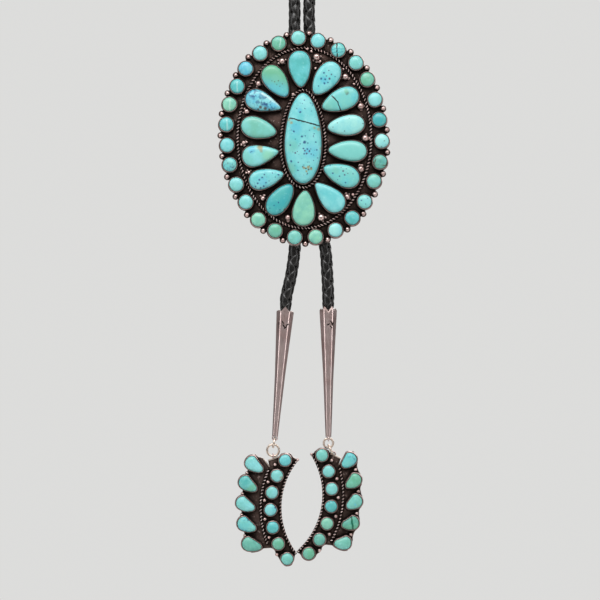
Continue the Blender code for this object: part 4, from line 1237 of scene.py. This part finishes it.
def make_cord_end(name, node, route, tip_top, lean):
    axis = Vector((-math.sin(lean), 0.0, -math.cos(lean)))
    points = [Vector((route[0][0] * MM, FRONT_Y, SLIDE_Z - GAP / 2))]
    points += [Vector((x * MM, FRONT_Y, SLIDE_Z + z * MM)) for x, z in route]
    necking = TIP_POINT_HEIGHT + NECKING_HEIGHT
    points.append(tip_top - axis * (necking + 3 * NECKING_HEIGHT))
    points.append(tip_top - axis * necking)
    points += [tip_top, tip_top + axis * (SOCKET_DEPTH - GAP)]
    route_line = smooth(points, BRAID_STEP)
    narrow = (SOCKET_TOP_RADIUS - GAP) / (CORD_DIAMETER / 2)
    depth = np.array([(p - tip_top).dot(axis) for p in route_line])
    depths = (-necking, -TIP_POINT_HEIGHT, SOCKET_DEPTH)
    shares = np.interp(depth, depths, (1.0, narrow, SOCKET_CORD_SHARE))
    cord = braid(name, route_line, shares, "cord")
    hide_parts(node)


def covered_edge(discs, half_u, half_v, samples):
    """Return the outline of an ellipse together with discs that stand over its edge."""
    outline = []
    for i in range(samples):
        angle = 2 * math.pi * i / samples
        way = Vector((math.cos(angle), math.sin(angle)))
        reach = 1.0 / math.hypot(way.x / half_u, way.y / half_v)
        for centre, radius in discs:
            along = centre.dot(way)
            miss = centre.length_squared - along * along
            if along > 0 and miss < radius * radius:
                reach = max(reach, along + math.sqrt(radius * radius - miss))
        outline.append(way * reach)
    return outline


def plate(name, outline, face, thickness, body, material):
    """Make a flat sheet with softly rounded edges. Its back and edges are plain silver."""
    edge = PLATE_EDGE
    cut = PLATE_EDGE_CUT * edge
    skin = Skin()
    skin.rings([
        [face.at(p, height) for p in inset(outline, amount)]
        for amount, height in (
            (edge, 0.0), (cut, cut), (0.0, edge), (0.0, thickness - edge), (cut, thickness - cut),
            (edge, thickness),
        )
    ])
    sheet = skin.piece(name, material, body, "silver")
    sheet.data.materials.append(SILVER)
    for polygon in sheet.data.polygons:
        polygon.material_index = int(polygon.normal.y > -0.9)
    return sheet


def inset(outline, amount):
    """Move an outline's points inwards along their normals."""
    if not amount:
        return outline
    moved_in = []
    count = len(outline)
    area = sum(
        a.x * b.y - b.x * a.y for a, b in zip(outline, outline[1:] + outline[:1])
    )
    sign = 1.0 if area > 0 else -1.0
    for i, p in enumerate(outline):
        along = outline[(i + 1) % count] - outline[i - 1]
        normal = Vector((-along.y, along.x)) * sign
        if normal.length > 0:
            p = p + normal.normalized() * amount
        moved_in.append(p)
    return moved_in


def make_slide():
    """Dress the slide: plate, stones in bezels, twisted wires and silver balls."""
    face = Face(0.0, PLATE_BACK_Y, SLIDE_Z)
    top = PLATE_THICKNESS
    bezels = Skin()
    rounds = []
    for number, (around, share, look) in enumerate(ROUND_LAYOUT, 1):
        place = on_ellipse(ROUND_RING_X, ROUND_RING_Z, math.radians(around)) * share
        rounds.append(place)

        def grown(offset, place=place):
            return moved(circle(ROUND_STONE_RADIUS + offset), place)

        set_stone(
            f"round_stone_{number:02d}", None, face, grown, top, top + ROUND_HEIGHT,
            ROUND_DOME, look, "slide", number + ROUND_SEED, bezels,
        )
    for number, (around, share, *shape, look) in enumerate(PEAR_LAYOUT, 1):
        place = on_ellipse(PEAR_RING_X, PEAR_RING_Z, math.radians(around)) * share

        def grown(offset, place=place, shape=shape):
            axis, length, width, taper = shape
            outline = pear(length * MM, width * MM, taper, offset)
            return moved(outline, place, math.radians(axis))

        set_stone(
            f"pear_cabochon_{number:02d}", f"pear_stone_{number:02d}", face, grown,
            top + STONE_FOOT, top + PEAR_WALL_HEIGHT, PEAR_DOME, look, "slide",
            number + PEAR_SEED, bezels,
        )
    set_stone(
        "center_cabochon", "center_stone", face, egg, top + STONE_FOOT, top + CENTER_WALL_HEIGHT,
        CENTER_DOME, "center", "slide", CENTER_SEED, bezels,
    )
    bezels.piece("slide_bezels", SILVER_BEZELS, "slide", "silver")

    wires, cores = Skin(), Skin()
    ring = egg(WALL + GAP + INNER_WIRE_MARGIN, INNER_WIRE_STEPS)
    lifted = [face.at(p, top + INNER_WIRE_HEIGHT) for p in ring]
    lifted = resample(lifted + lifted[:1], ROPE_FINENESS)[:-1]
    rope(wires, cores, lifted, WIRE_RING_RADIUS, True)
    turns = [2 * math.pi * i / OUTER_WIRE_STEPS for i in range(OUTER_WIRE_STEPS + 1)]
    ring = [on_ellipse(OUTER_WIRE_X, OUTER_WIRE_Z, turn) for turn in turns]
    lifted = [face.at(p, top + OUTER_WIRE_HEIGHT) for p in ring]
    rope(wires, cores, resample(lifted, ROPE_FINENESS)[:-1], WIRE_RING_RADIUS, True)
    wires.piece("slide_wires", SILVER_WIRES, "slide", "silver")
    cores.piece("slide_wire_grooves", BLACKENED, "slide", "silver")

    balls = Skin()
    discs = [(place, ROUND_STONE_RADIUS + ROUND_COVER) for place in rounds]
    for first, second in zip(rounds, rounds[1:] + rounds[:1]):
        gap = second - first
        outward = Vector((-gap.y, gap.x)).normalized()
        place = (first + second) / 2 + outward * OUTER_BALL_MARGIN
        discs.append((place, OUTER_BALL_RADIUS + BALL_COVER))
        wave = noise.noise(Vector((place.x, place.y, 0)) * BALL_GRAIN)
        size = OUTER_BALL_RADIUS * (1.0 + BALL_VARIATION * wave)
        balls.ball(face.at(place, top + OUTER_BALL_LIFT * size), size)
    arounds = [row[0] for row in PEAR_LAYOUT]
    arounds.append(arounds[0] - 360.0)
    chance = random.Random(CRUMB_SEED)
    for first, second, size in zip(arounds, arounds[1:], INNER_BALLS):
        size *= MM
        place = on_ellipse(INNER_BALL_X, INNER_BALL_Z, math.radians((first + second) / 2))
        balls.ball(face.at(place, top + INNER_BALL_LIFT * size), size)
        for _ in range(CRUMBS):
            way = on_ellipse(1.0, 1.0, chance.uniform(0.0, 2 * math.pi))
            crumb = chance.uniform(*CRUMB_SIZES) * MM
            spot = place + way * (size + CRUMB_REACH * crumb)
            balls.ball(face.at(spot, top + CRUMB_LIFT * crumb), crumb)
    for x, y, size in EXTRA_BALLS:
        spot = photo_point(x, y)
        place = Vector((spot.x, spot.z - SLIDE_Z))
        balls.ball(face.at(place, top + EXTRA_BALL_LIFT * size * MM), size * MM)
    balls.piece("slide_balls", SILVER_BALLS, "slide", "silver")

    half_u, half_v = ROUND_RING_X + EDGE_REACH, ROUND_RING_Z + EDGE_REACH
    outline = covered_edge(discs, half_u, half_v, EDGE_POINTS)
    sheet = plate("slide_plate", outline, face, top, "slide", SILVER_PLATE)
    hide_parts("slide_setting")
    for slot in bpy.data.objects["cord_clip"].material_slots:
        slot.material = SILVER


def hexagon(radius):
    """Return a hexagon with narrow bevels for corners and three more points on each side."""
    points = []
    flat = radius * math.cos(math.pi / 6)
    for i in range(6):
        corner = i * math.pi / 3
        for turn in (-TIP_BEVEL, TIP_BEVEL):
            arm = flat / math.cos(math.pi / 6 - abs(turn))
            angle = corner + turn
            points.append(Vector((math.cos(angle), math.sin(angle))) * arm)
        for share in (-0.5, 0.0, 0.5):
            angle = corner + math.pi / 6 + share * math.pi / 6
            arm = flat / math.cos(share * math.pi / 6)
            points.append(Vector((math.cos(angle), math.sin(angle))) * arm)
    return points


def torus(skin, centre, across, radius, wire, segments=48, sides=14):
    """Add a round ring whose flat side faces along the given direction."""
    turn = across.to_track_quat("Z", "Y")
    rings = []
    for k in range(segments):
        angle = 2 * math.pi * k / segments
        way = Vector((math.cos(angle), math.sin(angle), 0.0))
        ring = []
        for i in range(sides):
            tilt = 2 * math.pi * i / sides
            arm = way * (radius + wire * math.cos(tilt))
            ring.append(centre + turn @ (arm + Vector((0.0, 0.0, wire * math.sin(tilt)))))
        rings.append(ring)
    skin.rings(rings, closed=True)


def add_strokes(name, tip, strokes):
    """Sink dark slanted strokes in the tip's front. Each is x, y, slant and length."""
    skin = Skin()
    for x, y, slant, length in strokes:
        place = photo_point(x, y)
        start = Vector((place.x, FRONT_Y - 0.02, place.z))
        hit, spot, normal, _ = tip.ray_cast(start, Vector((0.0, 1.0, 0.0)))
        if not hit:
            continue
        along = Matrix.Rotation(math.radians(slant), 3, "Y") @ Vector((0.0, 0.0, 1.0))
        along = (along - normal * along.dot(normal)).normalized() * (length * MM / 2)
        aside = along.cross(normal).normalized() * STROKE_HALF_WIDTH
        sunk = normal * (STROKE_DEPTH * STROKE_HALF_WIDTH)
        skin.bead(spot, along, aside, sunk, STROKE_ROWS, STROKE_SIDES)
    skin.piece(name, BLACKENED, "cord", "silver")


def make_tip(name, node, top, lean, crown, chamfer, eye_axis, strokes):
    """Make a six-sided tapered tip with a pointed rim, stamped strokes and an eye."""
    place = Matrix.Translation(top) @ Matrix.Rotation(lean, 4, "Y")
    skin = Skin()
    profile = [(TIP_END_RADIUS * TIP_FOOT_SHARE, -TIP_LENGTH - TIP_FOOT_DROP)]
    for k in range(TIP_STEPS):
        depth = TIP_LENGTH * (1 - k / TIP_STEPS)
        radius = np.interp(
            depth, (0.0, TIP_WAIST_DEPTH, TIP_LENGTH),
            (TIP_TOP_RADIUS, TIP_WAIST_RADIUS, TIP_END_RADIUS),
        )
        profile.append((radius, -depth))
    rings = []
    for radius, z in profile:
        rings.append([place @ Vector((p.x, p.y, z)) for p in hexagon(radius)])
    outer = hexagon(TIP_TOP_RADIUS)
    rim = []
    for p in outer:
        from_front = math.degrees(p.angle(Vector((0.0, -1.0))))
        rim.append(float(np.interp(from_front, *zip(*crown))) * MM)
    inner = [p.normalized() * SOCKET_TOP_RADIUS for p in outer]
    middle = [p.lerp(q, 0.5) for p, q in zip(outer, inner)]
    for outline, offset in ((outer, -chamfer), (middle, RIM_LIP), (inner, -RIM_LIP)):
        rings.append([place @ Vector((p.x, p.y, z + offset)) for p, z in zip(outline, rim)])
    floor_z = -SOCKET_FLOOR_DEPTH * SOCKET_DEPTH
    floor = [p * SOCKET_FLOOR_WIDTH for p in inner]
    rings.append([place @ Vector((p.x, p.y, floor_z)) for p in floor])
    skin.rings(rings)
    tip = skin.piece(name, SILVER_TIPS, "cord", "silver", TIP_SHARP_DEG)
    # Faces that turn upwards get the darker silver: painted shade on the rim and in the socket
    tip.data.materials.append(SHADED_RIM_SILVER)
    for polygon in tip.data.polygons:
        polygon.material_index = int(polygon.normal.z > PAINTED_SHADE_UPWARD)
    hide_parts(node)
    add_strokes(name + "_strokes", tip, strokes)
    eye_place = place @ Vector((0.0, 0.0, -TIP_LENGTH - EYE_DROP))
    eye = Skin()
    torus(eye, eye_place, eye_axis, EYE_RADIUS, EYE_WIRE, EYE_SEGMENTS, EYE_SIDES)
    eye.piece(name + "_eye", SILVER_TIPS, "cord", "silver")
    return tip, eye_place


def make_ring(name, node, centre, across, radius, body):
    """Make a jump ring whose flat side faces along the given direction."""
    skin = Skin()
    torus(skin, centre, across, radius, RING_WIRE_RADIUS)
    ring = skin.piece(name, SILVER_RINGS, body, "silver")
    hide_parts(node)


def polar(pendant, radius, degrees):
    """Return a point of a pendant's face, by its arc and its angle above the middle."""
    angle = math.radians(degrees + pendant["turn_deg"])
    return Vector((pendant["side"] * radius * math.cos(angle), radius * math.sin(angle)))


def arc(pendant, radius, first, last, steps):
    """Return the points of a pendant's arc between two angles."""
    turns = [first + (last - first) * i / steps for i in range(steps + 1)]
    return [polar(pendant, radius, turn) for turn in turns]


def between(first, last, steps):
    """Return the points at even steps from the first to the last."""
    return [first.lerp(last, i / steps) for i in range(steps + 1)]


def spread(ends, count):
    """Return evenly spaced numbers from one end to the other."""
    return [ends[0] + (ends[1] - ends[0]) * i / (count - 1) for i in range(count)]


def hugging(outline, marks, margin):
    """Pull an outline in until each point of it is within the margin of a mark."""
    marks = np.array([tuple(p) for p in marks])
    flat = [Vector((p.x, p.y, 0.0)) for p in outline + outline[:1]]
    pulled = []
    for p in resample(flat, HUG_STEP)[:-1]:
        p = Vector((p.x, p.y))
        gaps = np.hypot(marks[:, 0] - p.x, marks[:, 1] - p.y)
        mark = Vector(marks[gaps.argmin()])
        if gaps.min() > margin:
            p = mark + (p - mark) * (margin / gaps.min())
        pulled.append(Vector((p.x, p.y, 0.0)))
    even = resample(pulled + pulled[:1], HUG_STEP)[:-1]
    for _ in range(HUG_SMOOTHINGS):
        even = [(a + p * 2 + b) / 4 for a, p, b in zip(even[-1:] + even, even, even[1:] + even[:1])]
    return [Vector((p.x, p.y)) for p in even]


def pendant_outline(pendant):
    """Return the plate's edge: inner arc, foot, band under the pears, notch, tab and top."""
    foot = pendant["foot_deg"]
    bulge = pendant["foot_bulge_deg"]
    return (
        arc(pendant, BAND_INNER, BAND_TOP_DEG, foot, BAND_STEPS)
        + [polar(pendant, pendant["round_arc"], bulge)]
        + arc(pendant, BAND_ROUNDS_EDGE, BAND_FOOT_DEG, BAND_PEARS_FOOT_DEG, FOOT_STEPS)
        + arc(pendant, BAND_PEARS_EDGE, BAND_PEARS_FOOT_DEG, BAND_PEARS_TOP_DEG, BAND_STEPS)
        + [
            polar(pendant, BAND_NOTCH_EDGE, BAND_NOTCH_DEG),
            polar(pendant, BAND_TAB_EDGE, BAND_TAB_DEG),
            polar(pendant, BAND_ROUNDS_EDGE, BAND_SHOULDER_DEG),
            polar(pendant, BAND_ROUNDS_EDGE, BAND_TOP_EDGE_DEG),
            polar(pendant, pendant["round_arc"], BAND_TOP_DEG),
        ]
    )


def make_pendant(pendant, eye_place, eye_axis):
    """Dress one pendant: plate, stones in bezels, twisted wires, balls and eye."""
    name = pendant["name"]
    side = pendant["side"]
    body = name + "_pendant"
    aside, below = pendant["centre_from_eye"]
    face = Face(eye_place.x + aside, FRONT_Y + PENDANT_THICKNESS / 2, eye_place.z + below)
    top = PENDANT_THICKNESS
    wall = top + PENDANT_WALL_HEIGHT
    bezels = Skin()
    marks = []
    length, width = pendant["pear_size"]
    pears = spread(pendant["pear_degs"], len(pendant["pear_looks"]))
    for number, around in enumerate(pears):
        tilt = around + pendant["turn_deg"] + pendant["pear_tilts"][number]
        turn = math.radians(tilt if side > 0 else 180.0 - tilt)
        place = polar(pendant, pendant["pear_arc"], around)

        def grown(offset, place=place, turn=turn):
            outline = pear(length, width, PENDANT_PEAR_TAPER, offset)
            return moved(cut_side(outline, side, offset), place, turn)

        marks += grown(BEZEL_SECTIONS[0][0] * MM)
        set_stone(
            f"{name}_pear_cabochon_{number + 1}", f"{body}_pear_{number + 1}", face, grown,
            top + STONE_FOOT, wall, PENDANT_DOME, pendant["pear_looks"][number], body,
            number + PENDANT_PEAR_SEED + side, bezels,
        )
    rounds = spread(pendant["round_degs"], len(pendant["round_looks"]))
    for number, around in enumerate(rounds):
        place = polar(pendant, pendant["round_arc"], around)

        def grown(offset, place=place):
            return moved(circle(PENDANT_ROUND_RADIUS + offset, PENDANT_ROUND_SIDES), place)

        marks += grown(BEZEL_SECTIONS[0][0] * MM)
        set_stone(
            f"{name}_round_cabochon_{number + 1}", f"{body}_round_{number + 1}", face, grown,
            top + STONE_FOOT, wall, PENDANT_DOME, pendant["round_looks"][number], body,
            number + PENDANT_ROUND_SEED + side, bezels,
        )
    bezels.piece(body + "_bezels", SILVER_BEZELS, body, "silver")

    wires, cores = Skin(), Skin()
    for radius, first, last in (
        (INNER_EDGE_WIRE_ARC, WIRE_TOP_DEG, pendant["wire_foot_deg"]),
        (MIDDLE_WIRE_ARC, *MIDDLE_WIRE_DEGS),
    ):
        route = arc(pendant, radius, first, last, WIRE_STEPS)
        marks += route
        line = [face.at(p, top + PENDANT_WIRE_HEIGHT) for p in route]
        rope(wires, cores, resample(line, ROPE_FINENESS), PENDANT_WIRE_RADIUS, False)
    wires.piece(body + "_wires", SILVER_WIRES, body, "silver")
    cores.piece(body + "_wire_grooves", BLACKENED, body, "silver")

    balls = Skin()
    for stones, ball_arc in (
        (rounds, pendant["round_arc"] + PENDANT_BALL_MARGIN),
        (pears, pendant["pear_arc"] + EDGE_BALL_MARGIN),
    ):
        for first, second in zip(stones, stones[1:]):
            place = polar(pendant, ball_arc, (first + second) / 2)
            marks += moved(circle(PENDANT_BALL_RADIUS, MARK_SIDES), place)
            balls.ball(face.at(place, top + PENDANT_BALL_HEIGHT), PENDANT_BALL_RADIUS)
    place = polar(pendant, INNER_EDGE_WIRE_ARC, CORNER_BALL_DEG)
    balls.ball(face.at(place, top + PENDANT_BALL_HEIGHT), CORNER_BALL_RADIUS)
    balls.piece(body + "_balls", SILVER_BALLS, body, "silver")

    outline = pendant_outline(pendant)
    *band, notch, tab, shoulder, edge, _ = outline
    half_way = notch.lerp(band[-1], 0.5)
    for first, last in ((notch, tab), (tab, shoulder), (shoulder, edge)):
        marks += between(first, last, MARK_STEPS)
    marks += between(notch, half_way, RIM_STEPS)
    rims = Skin()
    for first, last in ((notch, half_way), (tab, shoulder)):
        line = np.array([tuple(face.at(p, top)) for p in between(first, last, RIM_STEPS)])
        size = np.full(len(line), PLATE_RIM_RADIUS)
        ribbon(rims, line, np.tile((0.0, -1.0, 0.0), (len(line), 1)), size, size, RIM_SIDES)
    rims.piece(body + "_plate_rims", SILVER_RINGS, body, "silver")
    outline = hugging(outline, marks, PLATE_MARGIN)
    sheet = plate(body + "_plate", outline, face, top, body, SILVER_PLATE)
    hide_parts(body + "_setting")
    eye = Skin()
    torus(eye, eye_place, eye_axis, EYE_RADIUS, EYE_WIRE, EYE_SEGMENTS, EYE_SIDES)
    stem = eye_place - Vector((0.0, 0.0, EYE_STEM_DROP))
    eye.ball(stem, EYE_STEM_RADIUS, EYE_STEM_SQUASH)
    eye.piece(body + "_eye", SILVER_BALLS, body, "silver")


def make_left_drop():
    """Make the left tip, its two rings and its pendant, and return the tip."""
    depth = Vector((0.0, 1.0, 0.0))
    tip, hole = make_tip(
        "left_tip_silver", "left_tip", LEFT_TIP_TOP, LEFT_TIP_LEAN, LEFT_CROWN,
        LEFT_RIM_CHAMFER, depth, LEFT_STROKES,
    )
    pendant_eye = hole + LEFT_PENDANT_HANG
    radius = LEFT_LOWER_RING_RADIUS
    lower = pendant_eye + Vector((0.0, 0.0, radius))
    make_ring("left_lower_ring", "left_pendant_ring", lower, depth, radius, "left_pendant")
    upper_end = lower + Vector((0.0, 0.0, radius - LINK_OFFSET))
    line = upper_end - hole
    make_ring(
        "left_upper_ring", "left_tip_ring", (hole + upper_end) / 2, line.cross(depth),
        line.length / 2, "cord",
    )
    make_pendant(LEFT_PENDANT, pendant_eye, Vector((1.0, 0.0, 0.0)))
    return tip


def make_right_drop():
    """Make the right tip, its two rings and its pendant, and return the tip."""
    depth = Vector((0.0, 1.0, 0.0))
    tip, hole = make_tip(
        "right_tip_silver", "right_tip", RIGHT_TIP_TOP, RIGHT_TIP_LEAN, RIGHT_CROWN,
        RIGHT_RIM_CHAMFER, Vector((1.0, 0.0, 0.0)), RIGHT_STROKES,
    )
    pendant_eye = hole + RIGHT_PENDANT_HANG
    radius = RIGHT_UPPER_RING_RADIUS
    centre = hole - Vector((0.0, 0.0, radius))
    make_ring("right_upper_ring", "right_tip_ring", centre, depth, radius, "right_pendant")
    upper_end = hole - Vector((0.0, 0.0, 2 * radius - LINK_OFFSET))
    line = pendant_eye - upper_end
    make_ring(
        "right_lower_ring", "right_pendant_ring", (pendant_eye + upper_end) / 2,
        line.cross(depth), line.length / 2, "right_pendant",
    )
    make_pendant(RIGHT_PENDANT, pendant_eye, depth)
    return tip


def area_light(name, place, target, size, energy):
    """Add a soft rectangular light that faces the target."""
    data = bpy.data.lights.new(name, "AREA")
    data.shape = "RECTANGLE"
    data.size, data.size_y = size
    data.energy = energy
    made = bpy.data.objects.new(name, data)
    made.location = place
    made.rotation_euler = (Vector(target) - Vector(place)).to_track_quat("-Z", "Y").to_euler()
    bpy.context.scene.collection.objects.link(made)


def make_stage():
    """Set the camera at the photo's angle, a pale floor, a pale surround and soft light."""
    data = bpy.data.cameras.new("camera")
    data.lens = LENS
    data.sensor_width = SENSOR
    camera = bpy.data.objects.new("camera", data)
    middle = photo_point(PHOTO_SIZE / 2, PHOTO_SIZE / 2)
    distance = PHOTO_SIZE * PIXEL * LENS / SENSOR
    camera.location = Vector((middle.x, SCALE_PLANE_Y - distance, middle.z)) + CAMERA_SHIFT
    camera.rotation_euler = (math.pi / 2, 0.0, 0.0)
    bpy.context.scene.collection.objects.link(camera)
    bpy.context.scene.camera = camera

    world = bpy.data.worlds.new("surround")
    bpy.context.scene.world = world
    world.use_nodes = True
    tree = world.node_tree
    tree.nodes.clear()
    out = tree.nodes.new("ShaderNodeOutputWorld")
    path = tree.nodes.new("ShaderNodeLightPath")
    seen = tree.nodes.new("ShaderNodeBackground")
    seen.inputs["Color"].default_value = SURROUND_COLOUR
    room = tree.nodes.new("ShaderNodeBackground")
    way = tree.nodes.new("ShaderNodeTexCoord")
    split = tree.nodes.new("ShaderNodeSeparateXYZ")
    ramp = tree.nodes.new("ShaderNodeMapRange")
    ramp.interpolation_type = "SMOOTHSTEP"
    ramp.inputs["From Min"].default_value = ROOM_FADE_START
    ramp.inputs["From Max"].default_value = ROOM_FADE_END
    ramp.inputs["To Min"].default_value = ROOM_LOW
    ramp.inputs["To Max"].default_value = ROOM_HIGH
    tree.links.new(way.outputs["Generated"], split.inputs[0])
    tree.links.new(split.outputs["Z"], ramp.inputs["Value"])
    tree.links.new(ramp.outputs[0], room.inputs["Strength"])
    room.inputs["Color"].default_value = ROOM_COLOUR
    both = tree.nodes.new("ShaderNodeMixShader")
    tree.links.new(path.outputs["Is Camera Ray"], both.inputs[0])
    tree.links.new(room.outputs[0], both.inputs[1])
    tree.links.new(seen.outputs[0], both.inputs[2])
    tree.links.new(both.outputs[0], out.inputs["Surface"])

    bpy.ops.mesh.primitive_circle_add(vertices=96, radius=FLOOR_RADIUS, fill_type="NGON")
    floor = bpy.context.object
    floor.name = "floor"
    floor.location = (0.0, FRONT_Y, CAD_BOX[0][2] - FLOOR_DROP)
    n = Nodes("floor_paint")
    n.set(n.shader.inputs["Base Color"], n.mix(n.noise(FLOOR_GRAIN), *FLOOR_COLOURS))
    n.shader.inputs["Roughness"].default_value = FLOOR_ROUGHNESS
    floor.data.materials.append(n.material)

    centre = Vector((middle.x, FRONT_Y, middle.z))
    for name, place, size, energy in LIGHTS:
        area_light(name, Vector(place) + centre, centre, size, energy)
    bpy.context.scene.view_settings.view_transform = "Standard"


make_stage()
make_neck_cord()
left_tip = make_left_drop()
right_tip = make_right_drop()
make_cord_end(
    "left_end_braid", "left_cord_end", LEFT_END_ROUTE, LEFT_TIP_TOP, LEFT_TIP_LEAN
)
make_cord_end(
    "right_end_braid", "right_cord_end", RIGHT_END_ROUTE, RIGHT_TIP_TOP, RIGHT_TIP_LEAN,
)
make_slide()
